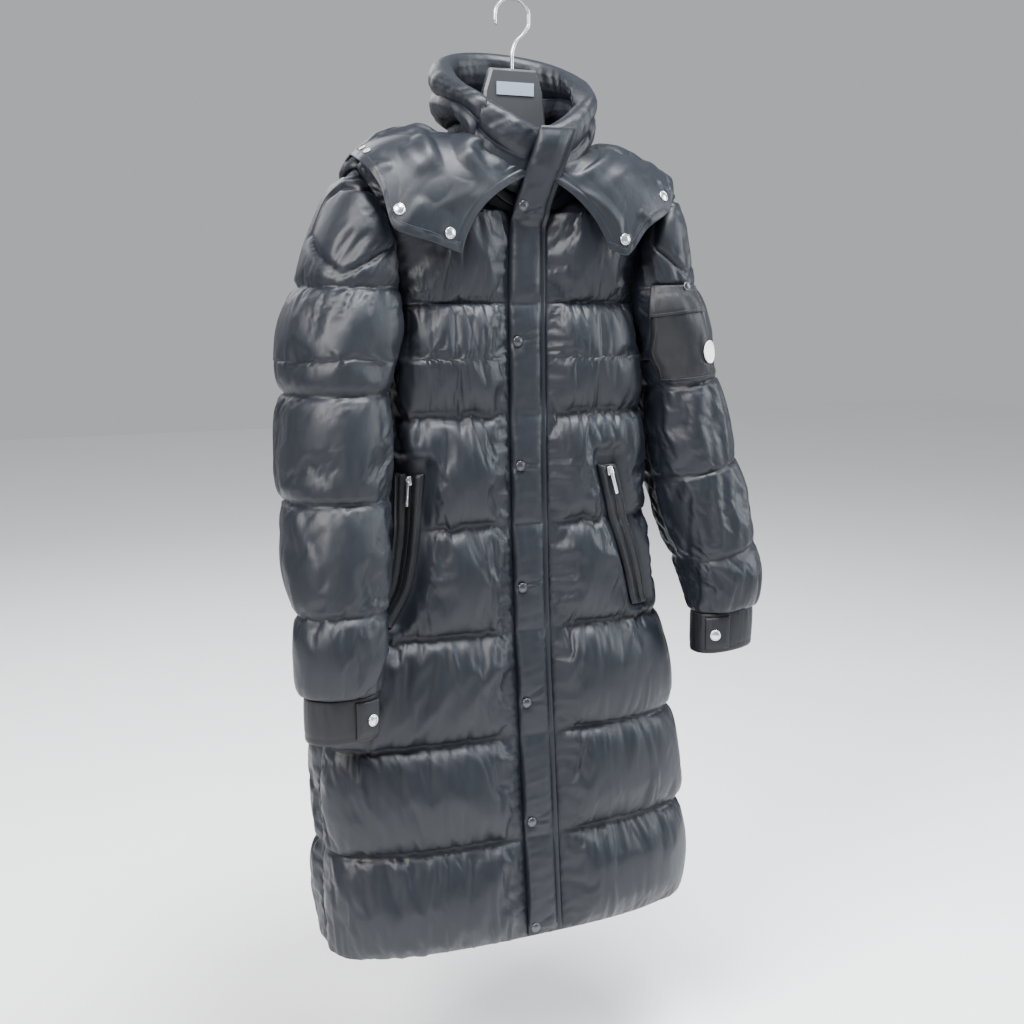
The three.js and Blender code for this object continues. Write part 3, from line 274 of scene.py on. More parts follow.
# Joins grids of outer points and of inner points into one closed wall. Points at one place become one, and
# every open edge gets a rim.
def wallMesh(name, grids, weld=0.02):
    outer = np.concatenate([o.reshape(-1, 3) for o, i in grids])
    inner = np.concatenate([i.reshape(-1, 3) for o, i in grids])
    firsts = np.cumsum([0] + [o.shape[0] * o.shape[1] for o, i in grids])
    quads = np.concatenate([gridQuads(*o.shape[:2], first) for (o, i), first in zip(grids, firsts)])
    kept, back = weldPoints(np.concatenate([outer, inner], 1), weld)
    outer, inner = outer[kept], inner[kept]
    count = len(outer)
    triangles = splitQuads(back[quads])
    edges = np.concatenate([triangles[:, [0, 1]], triangles[:, [1, 2]], triangles[:, [2, 0]]])
    there = edges[:, 0] * count + edges[:, 1]
    reverse = edges[:, 1] * count + edges[:, 0]
    rim = edges[~np.isin(there, reverse)]
    rimFaces = np.concatenate([
        np.stack([rim[:, 1], rim[:, 0], rim[:, 0] + count], -1),
        np.stack([rim[:, 1], rim[:, 0] + count, rim[:, 1] + count], -1),
    ])
    points = np.concatenate([outer, inner])
    triangles = np.concatenate([triangles, triangles[:, ::-1] + count, rimFaces])
    return meshPiece(name, points, outwards(points, triangles))


# Makes a piece from millimetre points, in the frame of the CAD.
def meshPiece(name, points, faces):
    mesh = bpy.data.meshes.new(name)
    mesh.from_pydata((points * 0.001 - [0, 0, hookLevel * 0.001]).tolist(), [], faces.tolist())
    mesh.validate()
    mesh.polygons.foreach_set("use_smooth", np.ones(len(mesh.polygons), bool))
    mesh.update()
    piece = bpy.data.objects.new(name, mesh)
    bpy.context.scene.collection.objects.link(piece)
    return piece


def settle(piece, material, nodes=(), body="coat"):
    piece.data.materials.append(material)
    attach(piece, body)
    if nodes:
        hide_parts(*nodes)
    return piece


# Materials. A weave of two crossed thread waves, as a height.
def newGroup(name, inputs, outputs):
    group = bpy.data.node_groups.new(name, "ShaderNodeTree")
    for socket, kind, value in inputs:
        made = group.interface.new_socket(socket, in_out="INPUT", socket_type=kind)
        made.default_value = value
    for socket, kind in outputs:
        group.interface.new_socket(socket, in_out="OUTPUT", socket_type=kind)
    nodes = group.nodes
    return group, nodes, nodes.new("NodeGroupInput"), nodes.new("NodeGroupOutput"), group.links.new


def mathNode(nodes, link, operation, a, b):
    node = nodes.new("ShaderNodeMath")
    node.operation = operation
    for socket, value in zip(node.inputs, (a, b)):
        if isinstance(value, (int, float)):
            socket.default_value = value
        else:
            link(value, socket)
    return node.outputs[0]


def makeWeaveGroup():
    group, nodes, given, result, link = newGroup(
        "weave",
        [("Vector", "NodeSocketVector", (0, 0, 0)), ("Threads", "NodeSocketFloat", 2400.0)],
        [("Height", "NodeSocketFloat")],
    )
    heights = []
    for direction in ("X", "Z"):
        wave = nodes.new("ShaderNodeTexWave")
        wave.bands_direction = direction
        wave.inputs["Distortion"].default_value = 0.6
        link(given.outputs["Vector"], wave.inputs["Vector"])
        link(given.outputs["Threads"], wave.inputs["Scale"])
        heights.append(wave.outputs["Fac"])
    link(mathNode(nodes, link, "MULTIPLY", heights[0], heights[1]), result.inputs["Height"])
    return group


# Small wrinkles of thin cloth: stretched noise at two sizes.
def makeCrinkleGroup():
    group, nodes, given, result, link = newGroup(
        "crinkle",
        [("Vector", "NodeSocketVector", (0, 0, 0)), ("Size", "NodeSocketFloat", 90.0),
         ("Stretch", "NodeSocketFloat", 0.35)],
        [("Height", "NodeSocketFloat"), ("Tone", "NodeSocketFloat")],
    )
    split = nodes.new("ShaderNodeSeparateXYZ")
    link(given.outputs["Vector"], split.inputs[0])
    join = nodes.new("ShaderNodeCombineXYZ")
    link(split.outputs["X"], join.inputs["X"])
    link(split.outputs["Y"], join.inputs["Y"])
    link(mathNode(nodes, link, "MULTIPLY", split.outputs["Z"], given.outputs["Stretch"]), join.inputs["Z"])
    noises = []
    for factor, detail in ((1.0, 3.0), (3.1, 4.0)):
        noise = nodes.new("ShaderNodeTexNoise")
        noise.inputs["Detail"].default_value = detail
        noise.inputs["Roughness"].default_value = 0.55
        link(join.outputs[0], noise.inputs["Vector"])
        link(mathNode(nodes, link, "MULTIPLY", given.outputs["Size"], factor), noise.inputs["Scale"])
        noises.append(noise.outputs["Fac"])
    height = mathNode(nodes, link, "MULTIPLY_ADD", noises[1], 0.4)
    link(height, result.inputs["Height"])
    link(noises[0], height.node.inputs[2])
    link(noises[0], result.inputs["Tone"])
    return group


weaveGroup = makeWeaveGroup()
crinkleGroup = makeCrinkleGroup()


def shaderParts(name):
    material = bpy.data.materials.new(name)
    material.use_nodes = True
    nodes, link = material.node_tree.nodes, material.node_tree.links.new
    place = nodes.new("ShaderNodeTexCoord").outputs["Object"]
    return material, nodes, link, nodes["Principled BSDF"], place


def useGroup(nodes, group, **values):
    node = nodes.new("ShaderNodeGroup")
    node.node_tree = group
    for socket, value in values.items():
        node.inputs[socket].default_value = value
    return node


def mixColour(nodes, link, factor, dark, light):
    mix = nodes.new("ShaderNodeMix")
    mix.data_type = "RGBA"
    mix.inputs["A"].default_value = (*dark, 1)
    mix.inputs["B"].default_value = (*light, 1)
    link(factor, mix.inputs["Factor"])
    return mix.outputs["Result"]


def bumpNode(nodes, link, height, strength, distance, normal=None):
    bump = nodes.new("ShaderNodeBump")
    bump.inputs["Strength"].default_value = strength
    bump.inputs["Distance"].default_value = distance
    link(height, bump.inputs["Height"])
    if normal is not None:
        link(normal, bump.inputs["Normal"])
    return bump.outputs["Normal"]


# Cloth: wrinkles in tone, height and gloss, with the weave's height over them.
def clothMaterial(name, dark, light, rough, sheen, threads=2400.0, crinkle=90.0, crinkleDepth=0.0006):
    material, nodes, link, shader, place = shaderParts(name)
    wrinkles = useGroup(nodes, crinkleGroup, Size=crinkle)
    weave = useGroup(nodes, weaveGroup, Threads=threads)
    link(place, wrinkles.inputs["Vector"])
    link(place, weave.inputs["Vector"])
    link(mixColour(nodes, link, wrinkles.outputs["Tone"], dark, light), shader.inputs["Base Color"])
    folded = bumpNode(nodes, link, wrinkles.outputs["Height"], 0.6, crinkleDepth)
    woven = bumpNode(nodes, link, weave.outputs["Height"], 0.4, 0.00006, folded)
    link(woven, shader.inputs["Normal"])
    ramp = nodes.new("ShaderNodeMapRange")
    ramp.inputs["To Min"].default_value = rough - 0.05
    ramp.inputs["To Max"].default_value = rough + 0.05
    link(wrinkles.outputs["Tone"], ramp.inputs["Value"])
    link(ramp.outputs[0], shader.inputs["Roughness"])
    shader.inputs["Specular IOR Level"].default_value = 0.3
    shader.inputs["Sheen Weight"].default_value = sheen
    shader.inputs["Sheen Roughness"].default_value = 0.4
    shader.inputs["Sheen Tint"].default_value = (0.75, 0.82, 1, 1)
    return material


# Metal and plastic: a fine grain in tone and height.
def hardMaterial(name, dark, light, rough, grainSize, grainHeight, metallic):
    material, nodes, link, shader, place = shaderParts(name)
    grain = useGroup(nodes, crinkleGroup, Size=grainSize, Stretch=1.0)
    link(place, grain.inputs["Vector"])
    link(mixColour(nodes, link, grain.outputs["Tone"], dark, light), shader.inputs["Base Color"])
    bump = bumpNode(nodes, link, grain.outputs["Height"], grainHeight, 0.0001)
    link(bump, shader.inputs["Normal"])
    shader.inputs["Metallic"].default_value = metallic
    shader.inputs["Roughness"].default_value = rough
    return material


metal = dict(grainSize=600.0, grainHeight=0.2, metallic=1.0)
plastic = dict(grainSize=900.0, grainHeight=0.25, metallic=0.0)
shellNylon = clothMaterial("shellNylon", (0.0035, 0.0045, 0.0072), (0.0065, 0.0085, 0.013), 0.45, 0.0,
                           crinkleDepth=0.0005)
trimNylon = clothMaterial("trimNylon", (0.0025, 0.003, 0.0042), (0.0055, 0.0065, 0.0085), 0.5, 0.0,
                          crinkle=160.0)
threadDark = clothMaterial("threadDark", (0.02, 0.022, 0.026), (0.045, 0.048, 0.055), 0.6, 0.1,
                           crinkle=900.0)
paleTwill = clothMaterial("paleTwill", (0.55, 0.56, 0.58), (0.72, 0.73, 0.74), 0.75, 0.2,
                          threads=900.0, crinkle=400.0)
silverMetal = hardMaterial("silverMetal", (0.504, 0.511, 0.525), (0.72, 0.73, 0.75), 0.28, **metal)
darkMetal = hardMaterial("darkMetal", (0.063, 0.0665, 0.0735), (0.09, 0.095, 0.105), 0.36, **metal)
hangerPlastic = hardMaterial("hangerPlastic", (0.016, 0.017, 0.019), (0.03, 0.032, 0.036), 0.42, **plastic)
palePlastic = hardMaterial("palePlastic", (0.16, 0.19, 0.24), (0.24, 0.28, 0.34), 0.3, **plastic)
print("materials made")


# Inflates a grid of cloth with its pinned points held: Blender's cloth with outward pressure and cloth to
# spare, for a set number of frames. No point travels further than the cap.
def inflate(name, points, pinned, settings):
    flat = points.reshape(-1, 3)
    cloth = meshPiece(name + "Cloth", flat, gridQuads(*points.shape[:2]))
    held = cloth.vertex_groups.new(name="held")
    held.add(np.nonzero(pinned.ravel())[0].tolist(), 1.0, "ADD")
    modifier = cloth.modifiers.new("Cloth", "CLOTH")
    modifier.settings.vertex_group_mass = "held"
    modifier.settings.quality = settings["quality"]
    modifier.settings.mass = 0.15
    modifier.settings.tension_stiffness = 12
    modifier.settings.compression_stiffness = 12
    modifier.settings.shear_stiffness = 4
    modifier.settings.bending_stiffness = settings["bending"]
    modifier.settings.use_pressure = True
    modifier.settings.uniform_pressure_force = settings["pressure"]
    modifier.settings.shrink_min = -settings["spare"]
    modifier.settings.effector_weights.gravity = 0
    modifier.collision_settings.use_collision = False
    modifier.point_cache.frame_end = settings["frames"]
    scene = bpy.context.scene
    for step in range(1, settings["frames"] + 1):
        scene.frame_set(step)
    shaped = cloth.evaluated_get(bpy.context.evaluated_depsgraph_get())
    moved = np.empty(len(shaped.data.vertices) * 3)
    shaped.data.vertices.foreach_get("co", moved)
    moved = (moved.reshape(-1, 3) + [0, 0, hookLevel * 0.001]) * 1000
    scene.frame_set(1)
    bpy.data.objects.remove(cloth)
    travel = moved - flat
    size = np.linalg.norm(travel, axis=1, keepdims=True)
    travel *= np.minimum(1, settings["cap"] / np.maximum(size, 1e-6))
    print(name, "inflated, median travel", round(float(np.median(size)), 2), "mm")
    return (flat + travel).reshape(points.shape)


panelSettings = dict(
    puff=22,  # of a baffle over its seams, mm
    columns=98,
    lowerRows=138,  # of the grid, from the hem to the armpit
    yokeRows=87,
    tucked=4,  # columns of the lowest yoke row that run into the armpit
    sideFade=58,  # how far in from the side seam the puff starts to drop, mm
    placketEdge=26.5,
    placketFade=34,
    armpitReach=62,
    lumpWave=120,
    seamWaves=[(6, 1.5, 14), (12, 3.1, 34), (26, 3.9, 56)],  # width, height and reach of the puckers
    edgeWaves=[(7, 1.2, 9), (15, 1.9, 20)],
    lump=0.09,
)
clothSettings = dict(pressure=1.6, spare=0.035, bending=0.6, quality=4, frames=10, cap=7)
pocketLines = dict(
    near=dict(topInner=44, topOuter=60, footInner=47, footOuter=59),
    far=dict(topInner=29, topOuter=37, footInner=41, footOuter=50),
)
pocketTop, pocketFoot = -1.5 * seamSpacing, -2.87 * seamSpacing


# A pocket's inner and outer angle at each level: straight from its top to its foot.
def pocketSpan(lines, level):
    d = np.clip((pocketTop - level) / (pocketTop - pocketFoot), 0, 1)
    return [np.radians(lines["top" + edge] + (lines["foot" + edge] - lines["top" + edge]) * d)
            for edge in ("Inner", "Outer")]


# A column of the yoke's table at even steps between its rows.
def yokeSteps(column, places):
    return np.interp(places, np.arange(len(yokeShape[column])), yokeShape[column])


# Where each row of a panel starts, at the centre, and ends, at the side seam or the armhole.
def panelRows(side, face):
    s = panelSettings
    sideLine = pi / 2 - 0.0006  # just short of the seam, so that front and back don't share a place
    start = 0.4 / 170 if face < 0 else 0
    low = np.linspace(hemLevel, armpit, s["lowerRows"])
    lower = np.stack([low, 0 * low + start, low, 0 * low + sideLine])
    places = np.linspace(0, len(yokeShape["armhole"]) - 1, s["yokeRows"] + 1)[1:]
    at = lambda column: yokeSteps(column, places)
    hole, centre = at("armhole"), at("front" if face < 0 else "back")
    turn = at("frontNeck" if face < 0 else "backNeck")
    neckLevel, neckTurn = neckAngle(side, face, turn)
    onNeck = turn > 0
    upper = np.stack([
        np.where(onNeck, neckLevel, centre),
        np.where(onNeck, np.minimum(neckTurn, sideLine), start),
        hole,
        np.minimum(sideLine, armholeAngle(hole, 1.003)),
    ])
    return np.concatenate([lower, upper], axis=1)


# Half a panel: the angle and level of each point, evenly spread along its row.
def halfPanel(side, face, columns):
    startLevel, startAngle, endLevel, endAngle = (x[:, None] for x in panelRows(side, face))
    place = lambda share: (startAngle + (endAngle - startAngle) * share,
                           startLevel + (endLevel - startLevel) * share)
    share = evenColumns(lambda s: bodyPoint(side, face, *place(s)), len(startLevel), columns)
    row, tucked = panelSettings["lowerRows"], panelSettings["tucked"]
    squeezed = share * endAngle[row] / endAngle[row - 1]
    squeezed[:, -tucked - 1:] = np.linspace(squeezed[:, -tucked - 1], 1, tucked + 1, axis=1)
    under = (np.arange(len(share)) < row)[:, None]
    share = share + (squeezed - share) * smooth(startLevel, -260, armpit) * under
    angle, level = place(share)
    return angle, level, bodyPoint(side, face, angle, level), bodyNormal(side, face, angle, level)


# The seams that cross a panel: how far each point is above or below the nearest one, and its puckers.
def seamPuckers(along, level, seams, seed, waves):
    total = np.zeros_like(along)
    for k, seam in enumerate(seams):
        away = level - seam
        reach = seamSpacing * 0.55
        near = (abs(away) < reach) * (1 - smooth(abs(away), reach * 0.7, reach))
        total += near * seamFolds(along, away, (seed + 2 * k, seed + 2 * k + 1), waves)
    return total


# A front or the back: each baffle's puff, lowered at the sides, the placket and the pocket, then the
# puckers and the simulation.
def makePanel(name, side, face, seed):
    s = panelSettings
    columns = s["columns"]
    if face < 0:
        angle, level, inner, normal = halfPanel(side, face, columns)
        along = lengthAlong(inner, 1)
        centre = smooth(along, s["placketEdge"] - 2, s["placketEdge"] + s["placketFade"]) ** 0.55
        fromCentre = np.maximum(along - s["placketEdge"], 0)
    else:
        halves = [halfPanel(k, 1, columns) for k in (-1, 1)]
        join = lambda a, b: np.concatenate([a[:, ::-1], b[:, 1:]], axis=1)
        angle, level, inner, normal = (join(a, b) for a, b in zip(*halves))
        along = lengthAlong(inner, 1)
        along = along - along[:, columns:columns + 1]
        centre = np.ones_like(along)
    up = lengthAlong(inner, 0)
    total = abs(along).max(axis=1, keepdims=True) if face > 0 else along[:, -1:]
    fromSide = total - abs(along)
    seams = [hemLevel + seamSpacing * k for k in range(7)]
    t = np.where(level < 0, ((level - hemLevel) / seamSpacing) % 1, 0.5)
    full = np.where(level < 0, fullness(t), 1)
    seamRow = int(np.argmin(abs(level[:, columns // 2])))
    yokeUp = up - up[seamRow]
    yokeTall = np.maximum(up[-1] - up[seamRow], 60)
    full = np.where(level >= 0, fullness(np.clip(yokeUp / yokeTall, 0, 1)) * 0.97, full)
    side1 = np.clip(fromSide / s["sideFade"], 0, 1) ** 0.6
    pressed = smooth(level, -430, -370) * (1 - smooth(level, 0, 60))
    turned = smooth(angle, 0.75, 1.3)
    underarm = np.exp(-((level - armpit) / s["armpitReach"]) ** 2)
    side1 = side1 * (1 - turned * np.maximum(0.75 * pressed, underarm))
    hollow = np.ones_like(along)
    if face < 0:
        lines = pocketLines["near" if side < 0 else "far"]
        half = np.radians((lines["topOuter"] - lines["topInner"]) / 2 + 1)
        off = abs(angle - sum(pocketSpan(lines, level)) / 2) / half
        below = 1 - smooth(level, pocketTop + 12, pocketTop + 32)
        inPocket = smooth(level, pocketFoot - 12, pocketFoot + 6) * below
        hollow = 1 - 0.7 * inPocket * (1 - smooth(off, 0.8, 1.7))
        neckDistance = np.where(level > neckline["front"] - 1, along, 99)
        hollow = hollow * smooth(neckDistance, -1, 24)
    slow = 1 + s["lump"] * lumps(along, up, seed, s["lumpWave"])
    shape = full * centre * side1 * hollow
    rise = bodyWall + s["puff"] * shape * slow
    calm = np.clip(centre * np.clip(fromSide / 18, 0, 1) * hollow, 0, 1)
    calm = calm * (1 - 0.6 * turned * pressed)
    rise += seamPuckers(along, level, seams, seed + 10, s["seamWaves"]) * calm
    atSide = full ** 0.4 * np.clip(fromSide / 10, 0, 1)
    rise += puckers(up, fromSide, seed + 60, s["edgeWaves"]) * atSide
    if face < 0:
        rise += puckers(up, fromCentre, seed + 61, s["edgeWaves"]) * full ** 0.4 * (fromCentre > 0)
    shoulder = up[-1] - up
    atTop = (level > 60) * np.clip(shoulder / 10, 0, 1)
    rise += puckers(along, shoulder, seed + 62, s["edgeWaves"]) * atTop
    rise = np.maximum(rise, bodyWall)
    points = inner + normal * rise[..., None]
    pinned = (shape < 0.12) | (hollow < 0.9)
    pinned[[0, -1]] = True
    pinned[:, [0, -1]] = True
    points = inflate(name, points, pinned, clothSettings)
    height = ((points - inner) * normal).sum(-1)
    points = points + normal * np.maximum(bodyWall - height, 0)[..., None]
    piece = wallMesh("sewn_" + name, [(points, inner)])
    settle(piece, shellNylon, [name])
    print(name, "made", len(piece.data.polygons), "faces")
    return dict(points=points, normal=normal, angle=angle)


fronts = dict(
    right=makePanel("front_right", -1, -1, 100),
    left=makePanel("front_left", 1, -1, 300),
)
makePanel("back", 0, 1, 500)


sleeveSettings = dict(
    seams=dict(right=[20, -108, -236, -368], left=[20, -108, -226, -342]),
    puff=14,
    wall=3,
    columns=104,
    waves=[(6, 1.3, 13), (12, 2.7, 30), (26, 3.1, 46)],
    # The shield sewn round the shoulder: lines from angle and level to angle and level
    shield=[(60, 72, 62, 121), (62, 121, 85, 133), (85, 133, 150, 133), (150, 133, 174, 119),
            (174, 119, 176, 76), (176, 76, 121, 32), (121, 32, 60, 72)],
    degree=1.12,  # of the sleeve's turn, mm
    square=2.3,
    headRows=95,
    armRows=84,
    armpitPush=40,
    edgeWaves=[(10, 1.2, 16), (22, 1.8, 28)],
    tucked=5,  # columns on each side that run into the armpit
    lump=0.12,
)


# A sleeve's section at a level: a squared ellipse between its outer and inner x, and its front and back y.
def sleevePoint(side, rows, angle, level):
    outer, inner, front, back, tilt = (
        readRows(rows, column, level) for column in ("outer", "inner", "front", "back", "tilt"))
    square = sleeveSettings["square"]
    reach = (abs(np.cos(angle)) ** square + abs(np.sin(angle)) ** square) ** (-1 / square)
    out = -(outer - inner) / 2 * reach * np.cos(angle)
    x = side * ((outer + inner) / 2 + out)
    y = (front + back) / 2 - (back - front) / 2 * reach * np.sin(angle)
    return np.stack([x, y, level + tilt * out], -1)


# The angle at which a section looks towards a point: its place between the section's edges, both ways.
def facingAngle(side, rows, target):
    read = lambda column: readRows(rows, column, target[..., 2])
    share = lambda value, low, high: (2 * value - low - high) / (high - low)
    across = share(side * target[..., 0], read("inner"), read("outer"))
    return np.arctan2(-share(target[..., 1], read("front"), read("back")), -across)


# An edge of the sleeve's head: where it sits in the armhole, the way out of it, and its first point
# outside.
def sleeveHead(side, face, level):
    shrink = 1 - armhole["ease"]
    height = armhole["centre"] + (level - armhole["centre"]) * shrink
    angle = armholeAngle(level, shrink)
    seat = bodyPoint(side, face, angle, height)
    radial = unit(np.stack([0 * level, seat[..., 1], (height - armhole["centre"]) * 0.6], -1))
    return seat, radial, seat + bodyNormal(side, face, angle, height) * (bodyWall + armhole["lip"])


# A sleeve: sections from the shoulder to the cuff, open at the armhole and closed below it, then the
# puffs, the puckers and the shield, and two strips that join it to the armhole.
def makeSleeve(name, side, rows, seed):
    s = sleeveSettings
    cuffLevel = rows["level"][0]
    seams = s["seams"]["left" if side > 0 else "right"]
    places = np.linspace(len(yokeShape["armhole"]) - 1, 0, s["headRows"] + 1)[:-1]
    arm = np.linspace(armpit, cuffLevel, s["armRows"])
    level = np.concatenate([yokeSteps("armhole", places), arm])[:, None]
    open_ = level > armpit
    heads = [sleeveHead(side, face, np.maximum(level, armpit)) for face in (-1, 1)]
    start = np.where(open_, facingAngle(side, rows, heads[0][2]), 0)
    finish = facingAngle(side, rows, heads[1][2])
    finish = np.where(open_, finish + np.where(finish < pi / 2, 2 * pi, 0), 2 * pi)
    start, finish = start.reshape(-1, 1), finish.reshape(-1, 1)
    misses = [np.where(open_, head[2].reshape(-1, 3) - sleevePoint(side, rows, turn, level)[:, 0], 0)
              for head, turn in zip(heads, (start, finish))]

    def place(t):
        point = sleevePoint(side, rows, start + (finish - start) * t, level + 0 * t)
        power = 4 + 14 * smooth(-level, 0, -armpit)
        first, last = ((share ** power)[..., None] for share in (1 - t, t))
        return point + misses[0][:, None] * first + misses[1][:, None] * last

    share = evenColumns(place, len(level), s["columns"])
    lastOpen, tucked = int(open_.sum()) - 1, s["tucked"]
    wanted = (start + (finish - start) * share)[lastOpen] / (2 * pi)
    wanted[:tucked + 1] = np.linspace(0, wanted[tucked], tucked + 1)
    wanted[-tucked - 1:] = np.linspace(wanted[-tucked - 1], 1, tucked + 1)
    share = share + (wanted[None] - share) * np.where(open_, 0, smooth(level, -240, armpit))
    points = place(share)
    away = points - points.mean(axis=1, keepdims=True)
    away[..., 0] += side * s["armpitPush"] * open_
    normal = facing(gridNormals(points), away)
    along, up = lengthAlong(points, 1), lengthAlong(points, 0)
    ring = along[:, -1:]
    edge = np.minimum(along, ring - along)
    nearHead = [np.where(open_, head[1].reshape(-1, 3), 0)[:, None] for head in heads]
    grip = np.where(open_, 1 - smooth(edge, 2, 16), 0)[..., None]
    wanted = np.where((share < 0.5)[..., None], nearHead[0], nearHead[1])
    normal = unit(normal * (1 - grip) + wanted * grip)
    seamNormal = unit(normal[:, :1] + normal[:, -1:])
    normal[:, :1] = np.where(open_[..., None], normal[:, :1], seamNormal)
    normal[:, -1:] = np.where(open_[..., None], normal[:, -1:], seamNormal)
    centreLevel = level + 0 * share
    marks = [yokeShape["armhole"][-1]] + seams + [cuffLevel]
    full = np.zeros_like(share)
    for upper, lower in zip(marks[:-1], marks[1:]):
        inside = (centreLevel <= upper) & (centreLevel >= lower)
        full = np.where(inside, fullness((centreLevel - lower) / (upper - lower)), full)
    closing = smooth(level, -150, armpit)
    hidden = np.interp(start[lastOpen, 0], 2 * pi * share[lastOpen + 1], along[lastOpen + 1])
    apart = np.where(open_, edge, np.hypot(np.maximum(edge - hidden, 0), armpit - level))
    inward = (0.35 + 0.65 * np.sin(pi * share) ** 0.8) * (1 - closing)
    inward = inward + np.clip(apart / 34, 0, 1) ** 0.7 * closing
    slow = 1 + s["lump"] * lumps(along - ring / 2, up, seed, 110)
    rise = s["puff"] * full * inward * slow
    total = np.zeros_like(share)
    arc = along - ring / 2
    for k, seam in enumerate(seams + [cuffLevel]):
        off = centreLevel - seam
        near = 1 - smooth(abs(off), 50, 72)
        total += near * seamFolds(arc, off, (seed + 2 * k, seed + 2 * k + 1), s["waves"])
    blendEnds = np.where(open_, np.clip(edge / 14, 0, 1), np.clip(edge / 9, 0, 1))
    rise = np.maximum(rise + total * blendEnds, 0)
    headEdge = puckers(up, edge, seed + 40, s["edgeWaves"]) * open_ * np.clip(edge / 10, 0, 1)
    turn = np.degrees(start + (finish - start) * share)
    lines = [(a * s["degree"], b, c * s["degree"], d, 3.6, -5.5) for a, b, c, d in s["shield"]]
    rise = np.maximum(rise + headEdge + creases(turn * s["degree"], centreLevel, lines), 0)
    outer = points + normal * rise[..., None]
    pinned = (full * inward < 0.2) | (edge < 4)
    pinned[[0, -1]] = True
    outer = inflate(name, outer, pinned, dict(clothSettings, cap=5))
    outer[:, -1] = np.where(open_, outer[:, -1], outer[:, 0])
    inner = points - normal * s["wall"]
    inner[:, -1] = np.where(open_, inner[:, -1], inner[:, 0])
    grids = [(outer, inner)]
    headRows = int(open_.sum()) + 1
    for k, column in ((0, 0), (1, -1)):
        seat, radial = (a.reshape(-1, 3)[:headRows] for a in heads[k][:2])
        if k:
            seat[-1], radial[-1] = (a.reshape(-1, 3)[headRows - 1] for a in heads[0][:2])
        first, firstInner = outer[:headRows, column], inner[:headRows, column]
        seatInner = seat - radial * s["wall"]
        strip = [seat, (seat + first) / 2, first]
        stripInner = [seatInner, (seatInner + firstInner) / 2, firstInner]
        if k:
            strip, stripInner = strip[::-1], stripInner[::-1]
        grids.append((np.stack(strip, 1), np.stack(stripInner, 1)))
    piece = wallMesh("sewn_" + name, grids)
    settle(piece, shellNylon, [name])
    print(name, "made", len(piece.data.polygons), "faces")
    return dict(points=outer, normal=normal, share=share, level=centreLevel)


sleeves = dict(
    right=makeSleeve("sleeve_right", -1, nearSleeve, 700),
    left=makeSleeve("sleeve_left", 1, farSleeve, 800),
)


cuffSettings = dict(
    height=57, wall=3, columns=140, rows=22,
    gathers=[(8, 1.3, 16), (15, 1.4, 34)],
    tab=(0.105, 0.235),  # where the strip starts and ends, in turns
    tabRows=(2, 20), tabWall=2,
)


# A cuff: the sleeve's last section carried straight down, gathered at its seam, with a pressed lower edge.
def makeCuff(name, side, rows, seed):
    s = cuffSettings
    level = rows["level"][0]
    angle = np.linspace(0, 2 * pi, s["columns"] + 1)[None]
    down = np.linspace(0.012, 1, s["rows"])[:, None]
    points = sleevePoint(side, rows, angle + 0 * down, level + 0 * down + 0 * angle)
    points[..., 2] -= down * s["height"]
    normal = facing(gridNormals(points, closed=True), points - points.mean(axis=1, keepdims=True))
    normal[..., 2] = 0
    normal = unit(normal)
    along = lengthAlong(points, 1)
    below = down * s["height"] + 0 * along
    ripple = puckers(along, below, seed, s["gathers"])
    ripple = ripple + puckers(along, s["height"] - below, seed + 1, [(9, 0.6, 14)])
    hemLine = -0.7 * np.exp(-((below - s["height"] + 9) / 1.3) ** 2)
    ends = np.clip(np.minimum(along, along[:, -1:] - along) / 8, 0, 1)
    rise = np.maximum(1.4 * np.sin(pi * down) ** 0.5 + (ripple + hemLine) * ends, -1)
    outer = points + normal * rise[..., None]
    outer[:, -1] = outer[:, 0]
    inner = points - normal * s["wall"]
    inner[:, -1] = inner[:, 0]
    cuff = wallMesh("cuff_" + name + "_cloth", [(outer, inner)])
    settle(cuff, trimNylon, ["cuff_" + name])
    top, foot = s["tabRows"]
    first, last = (int(t * s["columns"]) for t in s["tab"])
    base = outer[top:foot, first:last]
    out = normal[top:foot, first:last]
    u = np.linspace(-1, 1, base.shape[1])[None] + 0 * base[..., 0]
    v = np.linspace(-1, 1, base.shape[0])[:, None] + 0 * u
    groove = -0.5 * np.exp(-((np.maximum(abs(u), abs(v)) - 0.82) / 0.05) ** 2)
    soft = 0.9 * (1 - np.maximum(abs(u), abs(v)) ** 6) + groove
    tabOuter = base + out * (0.6 + s["tabWall"] + soft)[..., None]
    tab = wallMesh("cuff_tab_" + name + "_cloth", [(tabOuter, base + out * 0.4)])
    settle(tab, trimNylon, ["cuff_tab_" + name])
    row, column = base.shape[0] // 2, int(base.shape[1] * 0.42)
    return tabOuter[row, column], out[row, column]


cuffSnaps = dict(
    right=makeCuff("right", -1, nearSleeve, 900),
    left=makeCuff("left", 1, farSleeve, 910),
)
print("sleeves and cuffs made")

collarSettings = dict(
    wall=3, puff=12, bow=7, band=15, bandWall=2.4, least=1.6, lump=0.14,
    level=[0, 0.05, 0.14, 0.24, 0.38, 0.46, 0.5, 0.54, 0.64, 0.76, 0.88, 0.94, 0.98, 1],
    fill=[0, 0.3, 0.8, 1, 0.92, 0.66, 0.46, 0.66, 0.94, 1, 0.86, 0.66, 0.36, 0],
    waves=[(9, 1.0, 12), (18, 2.2, 24), (34, 2.6, 34)],
)


